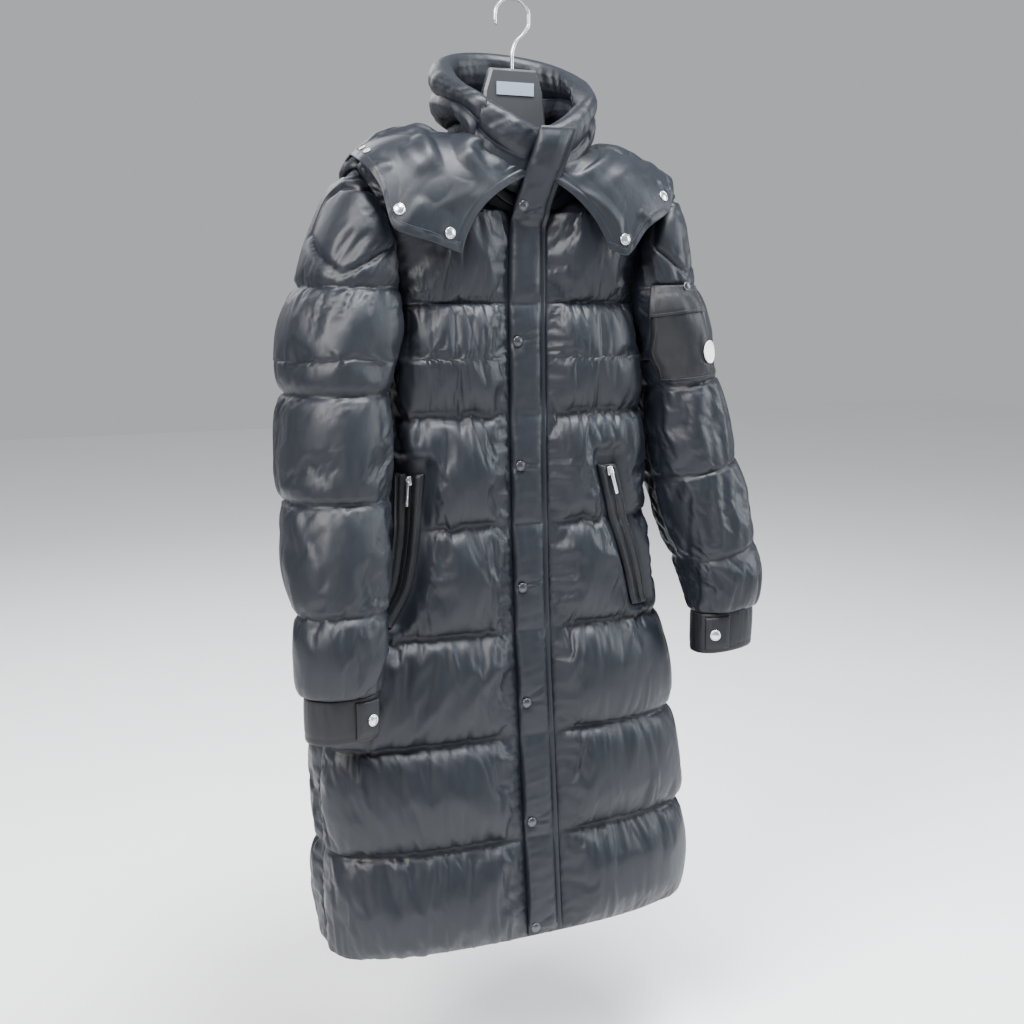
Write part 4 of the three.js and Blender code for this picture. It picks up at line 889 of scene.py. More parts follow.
# The neckline once round from the centre front over the wearer's left shoulder, at even steps.
def neckRing(columns):
    turns = np.linspace(0, 1, 60)
    parts = []
    for side, face, back in ((1, -1, False), (1, 1, True), (-1, 1, False), (-1, -1, True)):
        level, angle = neckAngle(side, face, turns)
        points = bodyPoint(side, face, angle, level) + bodyNormal(side, face, angle, level) * bodyWall
        parts.append(points[::-1] if back else points)
    ring = np.concatenate([parts[0]] + [part[1:] for part in parts[1:]])
    ring[:, 2] += neckline["gap"]
    length = lengthAlong(ring[None], 1)[0]
    even = np.linspace(0, length[-1], columns + 1)
    return np.stack([np.interp(even, length, ring[:, k]) for k in range(3)], -1)


neckPoints = neckRing(150)
ringDepth = np.where(neckPoints[:, 1] < 0, neckline["frontDepth"], neckline["backDepth"])
ringTurn = np.arctan2(neckPoints[:, 0] / neckline["width"], -neckPoints[:, 1] / ringDepth)
ringTurn = np.where(ringTurn < 0, ringTurn + 2 * pi, ringTurn)
ringTurn[0], ringTurn[-1] = 0, 2 * pi


# The middle of the collar's thickness over points of the neckline: straight from there to the rim at the
# same angle, bowed outwards by a half sine. Also the way out at each angle.
def collarPoint(base, angle, height):
    s = collarSettings
    base = base + [0, 0, s["band"] + 2 * neckline["gap"]]
    outward = unit(base * [1, 1, 0])
    base = base + outward * 1.5
    tall = 214 + 114 * abs(np.sin(angle / 2)) ** 1.2
    rim = np.stack([2 + 90 * np.sin(angle), -3 - 82 * np.cos(angle), tall], -1)
    return base + (rim - base) * height + outward * s["bow"] * np.sin(pi * height), outward


# The collar: both faces puffed between its seams, which are the neckline, the middle and the rim. Under it
# the neck band.
def makeCollar():
    s = collarSettings
    parts = [np.linspace(0, 0.08, 5), np.linspace(0.08, 0.94, 46)[1:], np.linspace(0.94, 1, 7)[1:]]
    height = np.concatenate(parts)
    points = collarPoint(neckPoints, ringTurn, height[:, None, None])[0]
    normal = facing(gridNormals(points), points * [1, 1, 0])
    normal[0, :, 2] = 0
    normal = unit(normal)
    along = lengthAlong(points, 1)
    up = lengthAlong(points, 0)
    h = height[:, None] + 0 * along
    full = np.interp(h, s["level"], s["fill"])
    ends = np.clip(np.minimum(along, along[:, -1:] - along) / 34, 0, 1) ** 0.6
    rises = []
    for k in (0, 1):
        slow = 1 + s["lump"] * lumps(along - along[:, -1:] / 2, up, 950 + k, 70)
        ripple = np.zeros_like(along)
        for j, seam in enumerate((0, 0.5, 1)):
            seeds = (960 + 10 * k + j, 970 + 10 * k + j)
            folds = seamFolds(along, (h - seam) * up[-1], seeds, s["waves"])
            ripple += folds * (abs(h - seam) < 0.5)
        rise = s["wall"] + s["puff"] * full * ends * slow + ripple * np.clip(full * 1.4, 0, 1) * ends
        rises.append(np.maximum(rise, s["least"]))
    outer = points + normal * rises[0][..., None]
    inner = points - normal * rises[1][..., None]
    for grid in (outer, inner):
        grid[:, 0, 0] += 0.5
        grid[:, -1, 0] -= 0.5
    collar = wallMesh("sewn_collar", [(outer, inner)])
    settle(collar, shellNylon, ["collar"])
    band = np.stack([neckPoints + [0, 0, z] for z in np.linspace(0, s["band"] - neckline["gap"], 6)])
    out = unit(band * [1, 1, 0])
    bandAlong = lengthAlong(band, 1)
    z = np.linspace(0, 1, 6)[:, None] + 0 * bandAlong
    ribs = np.sin(bandAlong * 2 * pi / 7.5 + 3 * np.sin(bandAlong / 19))
    swell = (0.8 + 0.35 * ribs) * np.sin(pi * z)
    neckBand = wallMesh("neck_band_cloth", [(band + out * swell[..., None], band - out * s["bandWall"])])
    settle(neckBand, trimNylon, ["neck_band"])


makeCollar()
print("collar made")

placketSettings = dict(
    half=25.5, wall=4, puff=7, gap=0.6, groove=0.7, least=1.6,
    edgeWaves=[(7, 0.9, 9), (12, 1.6, 14), (22, 1.5, 18)],
    rimWaves=[(7, 1.1, 5)],
    seamWaves=[(8, 1.0, 10), (14, 1.4, 18)],
)
placketSnaps = [108, -48, -208, -367, -523, -688, -840]
placketTop = dict(
    level=[94, 120, 146, 172, 196, 216],
    x=[-7, -4, 2, 8, 14, 20],
    y=[-70, -75, -82, -92, -99, -102],
    fill=[0.8, 0.4, 0.7, 0.9, 0.7, 0],
)


# The placket: a strip carried up the front and then up the collar, padded between its edges. Near its
# far edge runs the sewn groove, and each snap pinches folds across it.
def makePlacket():
    s = placketSettings
    x = np.linspace(-1, 1, 25)[None] * s["half"]

    def onFronts(level):
        parts = []
        for side in (-1, 1):
            angle = angleAtWidth(side, abs(x) + 0 * level, level + 0 * x)
            out = bodyNormal(side, -1, angle, level + 0 * x)
            parts.append((bodyPoint(side, -1, angle, level + 0 * x) + out * (bodyWall + s["gap"]), out))
        return [np.where((x < 0)[..., None], right, left) for right, left in zip(*parts)]

    base, normal = onFronts(np.linspace(hemLevel + 2, 80, 300)[:, None])
    high = np.linspace(86, 216, 44)[:, None]
    topX, topY = readRows(placketTop, "x", high), readRows(placketTop, "y", high)
    upper = np.stack([topX + x, topY + abs(x) * 0.12, high + 0 * x], -1)
    upperNormal = np.broadcast_to(unit(np.array([0, -1, -0.12])), upper.shape)
    join = smooth(high, 86, 112)[..., None]
    upper = onFronts(high)[0] * (1 - join) + upper * join
    points = np.concatenate([base, upper])
    normal = unit(np.concatenate([normal, upperNormal]))
    level = points[..., 2]
    up = lengthAlong(points, 0)
    across = x + 0 * up
    t = ((level - hemLevel) / seamSpacing) % 1
    full = np.where(level < 0, fullness(t), 1 - 0.75 * np.exp(-(level / 9) ** 2))
    full = np.where(level > 94, np.interp(level, placketTop["level"], placketTop["fill"]), full)
    full = 0.25 + 0.75 * full
    full *= smooth(level, hemLevel, hemLevel + 14) * (1 - smooth(level, 204, 216))
    edgeLeft, edgeRight = across + s["half"], s["half"] - across
    groove = s["half"] * (1 - s["groove"])
    pad = (1 - np.clip((across + groove * 0.5) / (s["half"] - groove * 0.5), -1, 1) ** 4) ** 0.6
    lip = 0.42 * np.exp(-((edgeRight - groove * 0.45) / (groove * 0.3)) ** 2)
    pad = np.where(edgeRight > groove, pad, lip)
    rise = s["wall"] * 0.55 + s["puff"] * 1.25 * full * pad
    inside = edgeRight - groove
    rise += puckers(up, edgeLeft, 1001, s["edgeWaves"]) * smooth(edgeLeft, 0, 4)
    rise += puckers(up, np.maximum(inside, 0), 1002, s["edgeWaves"]) * (inside > 0)
    rise += 0.7 * puckers(up, np.maximum(-inside, 0), 1003, s["rimWaves"]) * (inside < 0)
    for seam in [hemLevel + seamSpacing * k for k in range(1, 7)]:
        off = abs(level - seam)
        rise += puckers(across, off, 1010 + seam % 97, s["seamWaves"]) * (off < 60)
    snapX = -s["half"] * 0.7
    lines = []
    draw = np.random.default_rng(1100)
    for snap in placketSnaps:
        rise -= 4.2 * np.exp(-((across - snapX) ** 2 + (level - snap) ** 2) / 11 ** 2)
        for k in range(4):
            tilt = draw.uniform(-14, 14)
            foldHeight = draw.uniform(0.9, 1.8)
            lines.append((snapX + 4, snap + tilt * 0.2, s["half"] * 0.5, snap + tilt, 2.4, foldHeight))
            end = snap + tilt * 1.4 + 4
            lines.append((snapX + 3, snap + tilt * 0.3 + 3, s["half"] * 0.4, end, 1.8, -1.2))
        lines.append((snapX - 3, snap - 6, -s["half"], snap - 10, 2.2, 1.2))
        lines.append((snapX - 3, snap + 6, -s["half"], snap + 9, 2.2, 1.1))
    rise += creases(across, level, lines) * smooth(edgeLeft, 0, 3) * smooth(edgeRight, 0, 3)
    outer = points + normal * np.maximum(rise, s["least"])[..., None]
    placket = wallMesh("sewn_placket", [(outer, points)])
    settle(placket, shellNylon, ["placket"])
    return outer, normal


placketOuter, placketNormal = makePlacket()
print("placket made")


# A grid's value between its rows and columns: the four neighbours, each by its share.
def sample(grid, row, column):
    row = np.clip(row, 0, grid.shape[0] - 1.001)
    column = np.clip(column, 0, grid.shape[1] - 1.001)
    r, c = row.astype(int), column.astype(int)
    fr, fc = (row - r), (column - c)
    if grid.ndim > 2:
        fr, fc = fr[..., None], fc[..., None]
    return (grid[r, c] * (1 - fr) * (1 - fc) + grid[r, c + 1] * (1 - fr) * fc
            + grid[r + 1, c] * fr * (1 - fc) + grid[r + 1, c + 1] * fr * fc)


# The fractional column of each row at which a rising parameter reaches a value.
def columnAt(parameter, row, value):
    places = np.arange(parameter.shape[1])
    return np.stack([np.interp(v, parameter[int(round(float(r)))], places) for r, v in zip(row, value)])


# Short rounded threads laid end to end along a line, a little above it.
def threadLine(points, normal, pitch=3.4, size=0.42, fill=0.72):
    length = lengthAlong(points[None], 1)[0]
    count = max(int(length[-1] / pitch), 1)
    ends = [np.stack([np.interp((np.arange(count) + f) * pitch, length, a[:, k]) for k in range(3)], -1)
            for a in (points, normal) for f in ((1 - fill) / 2, (1 + fill) / 2)]
    first, last, firstOut, lastOut = ends
    out = unit(firstOut + lastOut)
    along = last - first
    side = unit(np.cross(along, out))
    t = np.array([0, 0.16, 0.84, 1])[None, :, None, None]
    radius = size * np.array([0.25, 1, 1, 0.25])[None, :, None, None]
    turn = np.linspace(0, 2 * pi, 6)[None, None, :, None]
    ring = radius * (np.cos(turn) * side[:, None, None] + np.sin(turn) * out[:, None, None] * 0.8)
    grid = first[:, None, None] + along[:, None, None] * t + ring + out[:, None, None] * size * 0.25
    ids = np.arange(count * 24).reshape(count, 4, 6)
    corners = [ids[:, :-1, :-1], ids[:, :-1, 1:], ids[:, 1:, 1:], ids[:, 1:, :-1]]
    quads = np.stack(corners, -1).reshape(-1, 4)
    head, tail = ids[:, 0], ids[:, 3]
    caps = np.concatenate(
        [np.stack([head[:, 0], head[:, k + 1], head[:, k], head[:, 0]], -1) for k in (1, 2, 3)]
        + [np.stack([tail[:, 0], tail[:, k], tail[:, k + 1], tail[:, 0]], -1) for k in (1, 2, 3)])
    return grid.reshape(-1, 3), np.concatenate([quads, caps])


# Several thread lines as one piece; the doubled points round each thread become one.
def sewThreads(name, lines, **look):
    points, faces, first = [], [], 0
    for line, normal in lines:
        made, quads = threadLine(line, normal, **look)
        points.append(made)
        faces.append(quads + first)
        first += len(made)
    points, faces = np.concatenate(points), np.concatenate(faces)
    kept, back = weldPoints(points, 0.005)
    points = points[kept]
    triangles = outwards(points, splitQuads(back[faces]))
    threads = meshPiece(name, points, triangles)
    settle(threads, threadDark)


hoodSettings = dict(
    wall=1.8,
    hem=11,  # from the edge to the hem's sewn line, mm
    edgeWaves=[(12, 0.8, 16), (26, 1.3, 34)],
    neckWaves=[(14, 2.0, 26), (30, 2.6, 48)],
)
# Lines from the neck over a crown to the edge: collar angle, height on the collar, crown x y z, edge x y z
hoodRight = [
    (42, 0.2, -98, -100, 128, -112, -101, 60), (56, 0.26, -130, -104, 160, -154, -106, 74),
    (70, 0.3, -160, -92, 188, -199, -100, 90), (82, 0.32, -172, -72, 206, -208, -84, 136),
    (94, 0.34, -168, -34, 226, -222, -46, 170), (106, 0.34, -165, 10, 236, -216, 2, 180),
]
hoodLeft = [
    (40, 0.2, 66, -100, 128, 90, -101, 68), (54, 0.26, 102, -104, 150, 112, -106, 60),
    (68, 0.3, 132, -96, 176, 146, -102, 96), (82, 0.32, 150, -72, 196, 186, -86, 120),
    (94, 0.34, 158, -30, 206, 206, -56, 160), (106, 0.34, 160, 14, 212, 214, 6, 178),
]
hoodBag = [
    (109, 0.34, -166, 22, 237, -218, 14, 176), (118, 0.33, -170, 60, 242, -214, 86, 124),
    (128, 0.32, -160, 96, 236, -204, 116, 62), (146, 0.3, -120, 140, 226, -162, 156, -26),
    (163, 0.3, -62, 158, 216, -92, 172, -86), (180, 0.3, 0, 162, 212, 0, 176, -106),
    (197, 0.3, 62, 158, 216, 92, 172, -86), (214, 0.3, 120, 140, 224, 162, 156, -26),
    (232, 0.32, 158, 96, 226, 206, 116, 58), (241, 0.33, 168, 60, 227, 214, 88, 118),
    (251, 0.34, 162, 26, 215, 215, 18, 174),
]


# A part of the hood: a curve from the neck over the crown to the edge, carried from one table row to the
# next. Its points are the neck, crown and edge by the shares of a quadratic curve.
def hoodSurface(rows, turn, clearance, across, steps):
    names = ["angle", "height", "crownX", "crownY", "crownZ", "edgeX", "edgeY", "edgeZ"]
    track = dict(zip(names, np.array(rows, float).T), level=np.arange(len(rows)))
    u = np.linspace(0, len(rows) - 1, across)[:, None]
    read = {name: readRows(track, name, u) for name in names}
    v = np.linspace(0, 1, steps)[None, :, None]
    angle = np.radians(360 - read["angle"] if turn < 0 else read["angle"])[:, 0]
    s = collarSettings
    base = np.stack([np.interp(angle, ringTurn, neckPoints[:, k]) for k in range(3)], -1)
    neck, outward = collarPoint(base, angle, read["height"])
    neck = neck + outward * (s["wall"] + s["puff"] + clearance)
    crown = np.concatenate([read["crownX"], read["crownY"], read["crownZ"]], 1)
    edge = np.concatenate([read["edgeX"], read["edgeY"], read["edgeZ"]], 1)
    points = neck[:, None] * (1 - v) ** 2 + 2 * crown[:, None] * v * (1 - v) + edge[:, None] * v ** 2
    return points, facing(gridNormals(points), points * [1, 1, 0] + [0, 0, 120])


# Finishes a part of the hood: folds on it, a sewn hem along its free edges, and a thin wall.
def makeHoodPart(name, rows, turn, clearance, folds, seed, area, flat, freeEnds):
    s = hoodSettings
    points, normal = hoodSurface(rows, turn, clearance, 120 if len(rows) < 8 else 190, 84)
    across, down = lengthAlong(points, 0), lengthAlong(points, 1)
    u = np.linspace(0, 1, points.shape[0])[:, None] + 0 * across
    v = np.linspace(0, 1, points.shape[1])[None] + 0 * across
    toEdge = down[:, -1:] - down
    toStart = across if freeEnds[0] else across + 999
    toFinish = across[-1:] - across if freeEnds[1] else across + 999
    toHem = np.minimum(toEdge, np.minimum(toStart, toFinish))
    relief = creases(u * 100, v * 100, folds)
    relief += 1.6 * lumps(across, down, seed, 70) * smooth(toHem, 4, 30)
    relief += puckers(across, toEdge, seed + 1, s["edgeWaves"]) * np.clip(toEdge / 5, 0, 1)
    relief += puckers(across, down, seed + 2, s["neckWaves"]) * smooth(down, 1, 10)
    relief -= 0.8 * np.exp(-((toHem - s["hem"]) / 1.4) ** 2)
    relief += 0.5 * smooth(-toHem, -s["hem"], 2 - s["hem"])
    relief = np.maximum(relief * smooth(down, 0, 12), -0.2)
    inner = points + normal * relief[..., None]
    outer = inner + normal * s["wall"]
    piece = wallMesh(name + "_cloth", [(outer, inner)])
    settle(piece, shellNylon, [name])
    newNormal = facing(gridNormals(outer), normal)
    row = np.arange(3, points.shape[0] - 3).astype(float)
    hemColumn = columnAt(-toEdge, row, np.full(len(row), -s["hem"]))
    hemNormal = sample(newNormal, row, hemColumn)
    sewThreads(name + "_threads", [(sample(outer, row, hemColumn) + hemNormal * 0.25, hemNormal)])
    return outer, newNormal


# Folds as start u and v, end u and v, width and height, in hundredths of the part
nearFolds = [
    (28, 30, 100, 16, 7, 9), (20, 42, 96, 34, 4, -5), (40, 52, 100, 46, 6, 5), (70, 60, 98, 70, 4, -4),
    (55, 20, 100, 2, 5, 6), (10, 22, 60, 20, 5, -3), (62, 78, 70, 100, 3.4, 3.2), (50, 82, 52, 100, 3, -2.4),
    (30, 74, 34, 100, 4, 2.6), (16, 70, 24, 98, 3, -2), (88, 30, 100, 80, 5, 7), (76, 40, 84, 96, 4, -3),
    (8, 40, 26, 92, 6, 2.4), (44, 60, 70, 66, 5, 2.2),
]
farFolds = [
    (24, 18, 80, 30, 4, -4.5), (26, 24, 90, 42, 7, 4.5), (60, 12, 100, 24, 6, 3.5), (30, 46, 96, 60, 8, 2.6),
    (20, 84, 40, 70, 3.4, -3), (44, 100, 36, 82, 3, 2.6),
    (62, 100, 52, 78, 3.2, -2.6), (70, 100, 66, 80, 3, 3),
    (86, 92, 70, 84, 3, -3), (8, 30, 22, 90, 5, 2.4), (56, 60, 92, 84, 5, 2),
]
bagFolds = [
    (4, 12, 48, 20, 6, 7), (52, 22, 98, 12, 6, 6.5), (8, 30, 60, 38, 5, -5), (40, 34, 92, 26, 5, -4.5),
    (14, 48, 80, 52, 8, 6), (24, 66, 66, 70, 6, -4), (30, 84, 74, 82, 7, 4.5), (2, 40, 14, 92, 5, 6),
    (98, 40, 86, 92, 5, 6), (44, 8, 50, 96, 2.6, -2.4), (20, 20, 32, 86, 5, 3), (78, 22, 68, 88, 5, 3.2),
    (6, 70, 26, 96, 4, -3), (94, 72, 76, 96, 4, -3),
]
flapSheet = (0.03, (0.22, 0.17), (True, True))
hoods = dict(
    right=makeHoodPart("hood_right", hoodRight, -1, 2, nearFolds, 1200, *flapSheet),
    left=makeHoodPart("hood_left", hoodLeft, 1, 1.8, farFolds, 1220, *flapSheet),
    back=makeHoodPart("hood_back", hoodBag, -1, 0.4, bagFolds, 1240, 0.13, (0.62, 0.36), (False, False)),
)
print("hood made")

weltSettings = dict(
    share=[0, 0.05, 0.11, 0.18, 0.25, 0.31, 0.345, 0.37, 0.5, 0.63, 0.655, 0.69, 0.75, 0.82, 0.89, 0.95, 1],
    height=[0.4, 2.6, 4.8, 5.8, 5.8, 4.8, 3.2, 1.8, 1.8, 1.8, 3.2, 4.8, 5.8, 5.8, 4.8, 2.6, 0.4],
    rows=110, columns=49, gap=0.5, waves=[(6, 0.5, 30), (11, 0.7, 40)],
    teeth=1.7,  # from one tooth to the next, mm
    tooth=(2.1, 0.55, 1.1),
)


# A slanted pocket: two rolled lips and the zip between them, laid on the panel's own surface.
def makePocket(name, lines, seed):
    s = weltSettings
    panel = fronts[name]
    count, columns = s["rows"], s["columns"]
    level = np.linspace(pocketTop + 3, pocketFoot - 3, count)
    row = (level - hemLevel) / (armpit - hemLevel) * (panelSettings["lowerRows"] - 1)
    inside, outside = pocketSpan(lines, level)
    places = np.arange(len(s["share"]))
    share = np.interp(np.linspace(0, places[-1], columns), places, s["share"])[None]
    angle = inside[:, None] + (outside - inside)[:, None] * share
    column = columnAt(panel["angle"], row, angle)
    rows = row[:, None] + 0 * column
    base = evened(sample(panel["points"], rows, column), 9)
    chord = np.linspace(0, 1, columns)[None, :, None]
    normal = unit(sample(panel["normal"], rows, column))
    out = unit(normal.mean(axis=1, keepdims=True) + normal)
    straight = base[:, :1] * (1 - chord) + base[:, -1:] * chord
    over = np.maximum(((base - straight) * out).sum(-1), 0).max(axis=1, keepdims=True)
    seat = straight + out * (evened(over, 13) * 0.6 + s["gap"])[..., None]
    profile = np.interp(share, s["share"], s["height"])
    up = lengthAlong(seat, 0)
    lip = profile > 2
    ends = np.clip(np.minimum(up, up[-1:] - up) / 5, 0, 1) ** 0.5
    ripple = puckers(up, abs(share - 0.5) * 60 + 0 * up, seed, s["waves"])
    rise = 0.8 + profile * (0.35 + 0.65 * ends) + ripple * lip
    stitched = -0.7 * np.exp(-((np.minimum(share, 1 - share) - 0.15) / 0.025) ** 2)
    outer = seat + out * (rise + stitched)[..., None]
    welt = wallMesh("welt_" + name + "_cloth", [(outer, seat - out * 1.5)])
    settle(welt, trimNylon, ["welt_" + name])
    middle = sample(outer, np.arange(count).astype(float), np.full(count, 24.0))
    across = unit(outer[:, 30] - outer[:, 18])
    ups = unit(np.gradient(middle, axis=0))
    n = unit(out[:, 24])
    tape = np.linspace(-1, 1, 9)[None, :, None]
    tapePoints = middle[:, None] + across[:, None] * tape * 4.2 + n[:, None] * (1 - 0.5 * abs(tape) ** 3)
    zipTape = wallMesh("zip_" + name + "_tape", [(tapePoints, tapePoints - n[:, None] * 0.9)])
    settle(zipTape, trimNylon, ["zip_" + name])
    length = lengthAlong(middle[None], 1)[0]
    teeth = int((length[-1] - 12) / s["teeth"])
    at = 6 + np.arange(teeth) * s["teeth"]
    pick = lambda a: np.stack([np.interp(at, length, a[:, k]) for k in range(3)], -1)
    p, a, w, o = pick(middle), unit(pick(across)), unit(pick(ups)), unit(pick(n))
    flip = np.where(np.arange(teeth) % 2 == 0, 1, -1)[:, None]
    corner = np.array([(x, y, z) for z in (0, 1) for y in (-1, 1) for x in (0, 1)], float)
    taper = 1 - 0.25 * corner[:, 2:3]
    local = corner * s["tooth"] * np.concatenate([taper, taper, np.ones_like(taper)], 1)
    local[:, 0] -= 0.25
    points = (p[:, None] + a[:, None] * flip[:, None] * local[None, :, :1] + w[:, None] * local[None, :, 1:2]
              + o[:, None] * (local[None, :, 2:3] + 0.9))
    faces = np.array([(0, 2, 3, 1), (4, 5, 7, 6), (0, 1, 5, 4), (2, 6, 7, 3), (1, 3, 7, 5), (0, 4, 6, 2)])
    order = np.where(flip[:, :, None] > 0, faces[None], faces[None, :, ::-1])
    order = (order + (np.arange(teeth) * 8)[:, None, None]).reshape(-1, 4)
    teethPiece = meshPiece("zip_" + name + "_teeth", points.reshape(-1, 3), order)
    teethPiece.data.polygons.foreach_set("use_smooth", np.zeros(len(teethPiece.data.polygons), bool))
    settle(teethPiece, darkMetal)
    line = lambda c, lift=0.35: (outer[2:-2, c] + out[2:-2, c] * lift, out[2:-2, c])
    sewThreads("welt_" + name + "_threads", [line(7), line(41)], size=0.36)

makePocket("right", pocketLines["near"], 1300)
makePocket("left", pocketLines["far"], 1320)
print("pockets made")


# A closed solid from an outline and a rounded edge: its rings move in by the bevel times one less sine,
# and up by the bevel times one less cosine.
def plate(outline, thickness, bevel, steps=3):
    centre = outline.mean(axis=0)
    turn = np.linspace(0, pi / 2, steps)
    sine, cosine = bevel * (1 - np.sin(turn)), bevel * (1 - np.cos(turn))
    half = thickness / 2
    z = np.concatenate([[-half], cosine - half, half - sine, [half]])
    inset = np.concatenate([[0], sine, cosine, [0]])[:, None, None]
    reach = np.linalg.norm(outline - centre, axis=1, keepdims=True)
    rings = centre + (outline - centre) * (1 - inset / reach)
    rings[[0, -1]] = centre
    grid = np.concatenate([rings, z[:, None, None] + 0 * rings[..., :1]], -1)
    return np.concatenate([grid, grid[:, :1]], axis=1)


# Turns grids of points with doubles into one closed piece, in a frame of three axes at a point.
def solidPiece(name, grids, origin=(0, 0, 0), axes=None):
    points, faces, first = [], [], 0
    for grid in grids:
        flat = grid.reshape(-1, 3)
        kept, back = weldPoints(flat, 0.002)
        triangles = splitQuads(back[gridQuads(*grid.shape[:2])])
        flat = flat[kept]
        if axes is not None:
            flat = np.asarray(origin) + flat @ np.asarray(axes)
        points.append(flat)
        faces.append(outwards(flat, triangles) + first)
        first += len(flat)
    return meshPiece(name, np.concatenate(points), np.concatenate(faces))


# Where the CAD has a node's middle.
def nodeMiddle(node):
    low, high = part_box(node)
    return (np.array(low) + np.array(high)) * 500 + [0, 0, hookLevel]


# Three axes on a surface: level, up it, and out along its normal.
def standing(normal):
    x = unit(np.cross([0, 0.02, -1.0], normal))
    return np.stack([x, np.cross(normal, x), normal])


# A profile of radius and height turned round the third axis.
def turnedGrid(profile, sides=36):
    r, z = np.array(profile, float).T
    turn = np.linspace(0, 2 * pi, sides + 1)
    return np.stack([r[:, None] * np.cos(turn), r[:, None] * np.sin(turn), z[:, None] + 0 * turn], -1)


snapProfile = [(0, -0.6), (5.2, -0.6), (6.9, 0), (7.4, 0.5), (7.5, 1.0), (7.3, 1.5), (6.8, 1.85), (6.3, 1.9),
               (5.9, 1.75), (5.6, 1.72), (5.2, 1.85), (4.2, 2.25), (2.8, 2.6), (1.4, 2.78), (0, 2.85)]


# A snap's cap, set on the cloth at the point nearest to where the CAD has it.
def placeSnap(node, points, normal, material, slotName, scale=1.0):
    flat, out = points.reshape(-1, 3), normal.reshape(-1, 3)
    near = np.argsort(((flat - nodeMiddle(node)) ** 2).sum(1))[:60]
    point, n = flat[near[:12]].mean(0), unit(out[near].mean(0))
    seat = point + n * (((flat[near] - point) @ n).max() * 0.5)
    snap = solidPiece(node + "_cap", [turnedGrid(np.array(snapProfile) * scale)], seat, standing(n))
    settle(snap, material, [node])


for k in range(7):
    placeSnap(f"placket_snap_{k + 1}", placketOuter, placketNormal, darkMetal, "dark_metal", 0.86)
for name, (point, n) in cuffSnaps.items():
    points, normals = (np.repeat(a[None], 60, 0) for a in (point, n))
    placeSnap("cuff_snap_" + name, points, normals, silverMetal, "silver_metal")
for name, part, scale in (
    ("hood_snap_right_1", "right", 0.95), ("hood_snap_right_2", "right", 0.95),
    ("hood_cord_end_1", "right", 0.62), ("hood_cord_end_2", "right", 0.62),
    ("hood_snap_left_1", "left", 0.95), ("hood_snap_left_2", "left", 0.95),
):
    placeSnap(name, *hoods[part], silverMetal, "silver_metal", scale)
print("snaps made")

patchSettings = dict(
    top=22, foot=-104, flapFoot=-18, first=0.1, last=0.31,
    seam=4.5,  # from the edge to the sewn line, mm
    edge=4,  # the grid line that the threads lie on
)


# The sleeve's patch pocket and its flap: strips of the sleeve's own surface moved out.
def makeSleevePocket():
    s = patchSettings
    sleeve = sleeves["left"]
    rowLevel = sleeve["level"][:, 0]

    def strip(top, foot, first, last, count, columns):
        level = np.linspace(top, foot, count)
        row = np.interp(-level, -rowLevel, np.arange(len(rowLevel)))
        share = np.linspace(first, last, columns)
        column = columnAt(sleeve["share"], row, np.repeat(share[None], count, 0))
        rows = row[:, None] + 0 * column
        base, normal = sample(sleeve["points"], rows, column), unit(sample(sleeve["normal"], rows, column))
        return evened(base, 15), unit(evened(normal, 15))

    base, normal = strip(s["top"], s["foot"], s["first"], s["last"], 74, 48)
    across, down = lengthAlong(base, 1), lengthAlong(base, 0)
    beside = np.minimum(across, across[:, -1:] - across)
    border = np.minimum(beside, np.minimum(down, down[-1:] - down))
    rise = 3.2 + 1.8 * smooth(border, 0, 4) + 1.2 * smooth(border, 8, 30)
    rise += 0.8 * lumps(across, down, 1401, 40) * smooth(border, 6, 16)
    rise += puckers(across, down[-1:] - down, 1402, [(8, 0.7, 14), (15, 1.1, 26)])
    rise += puckers(down, across, 1403, [(9, 0.7, 12)])
    rise -= 0.7 * np.exp(-((border - s["seam"]) / 0.9) ** 2)
    gusset = np.exp(-((border - 1.2) / 1.1) ** 2)
    outer = base + normal * (rise - 0.6 * gusset)[..., None]
    bag = wallMesh("sleeve_pocket_cloth", [(outer, base + normal * 0.3)])
    settle(bag, trimNylon, ["sleeve_pocket"])
    edge = s["edge"]
    ring = [outer[3:-3, edge], outer[-edge, 3:-3], outer[3:-3, -edge]]
    ringOut = [normal[3:-3, edge], normal[-edge, 3:-3], normal[3:-3, -edge]]
    lines = [(a + n * 0.3, n) for a, n in zip(ring, ringOut)]
    base, normal = strip(s["top"] + 3, s["flapFoot"], s["first"] - 0.006, s["last"] + 0.006, 30, 50)
    across, down = lengthAlong(base, 1), lengthAlong(base, 0)
    border = np.minimum(np.minimum(across, across[:, -1:] - across), down[-1:] - down)
    lift = 7.4 + 1.0 * smooth(border, 0, 4) + 0.7 * lumps(across, down, 1410, 34)
    lift -= 0.6 * np.exp(-((border - s["seam"]) / 0.9) ** 2)
    lift = lift * smooth(down, -8, 9) + 1.6 * np.exp(-((down - 2) / 3) ** 2)
    flapOuter = base + normal * lift[..., None]
    flap = wallMesh("sleeve_pocket_flap_cloth", [(flapOuter, flapOuter - normal * 1.7)])
    settle(flap, trimNylon, ["sleeve_pocket_flap"])
    inside = slice(3, -3)
    for place in ((slice(2, -3), edge), (slice(2, -3), -edge), (-edge, inside), (3, inside)):
        lines.append((flapOuter[place] + normal[place] * 0.3, normal[place]))
    sewThreads("sleeve_pocket_threads", lines, size=0.4)
    placeSnap("pocket_snap", flapOuter, normal, darkMetal, "dark_metal", 0.8)
    return outer, facing(gridNormals(outer), outer - outer.mean((0, 1)) + [60, 0, 0])


bagOuter, bagNormal = makeSleevePocket()


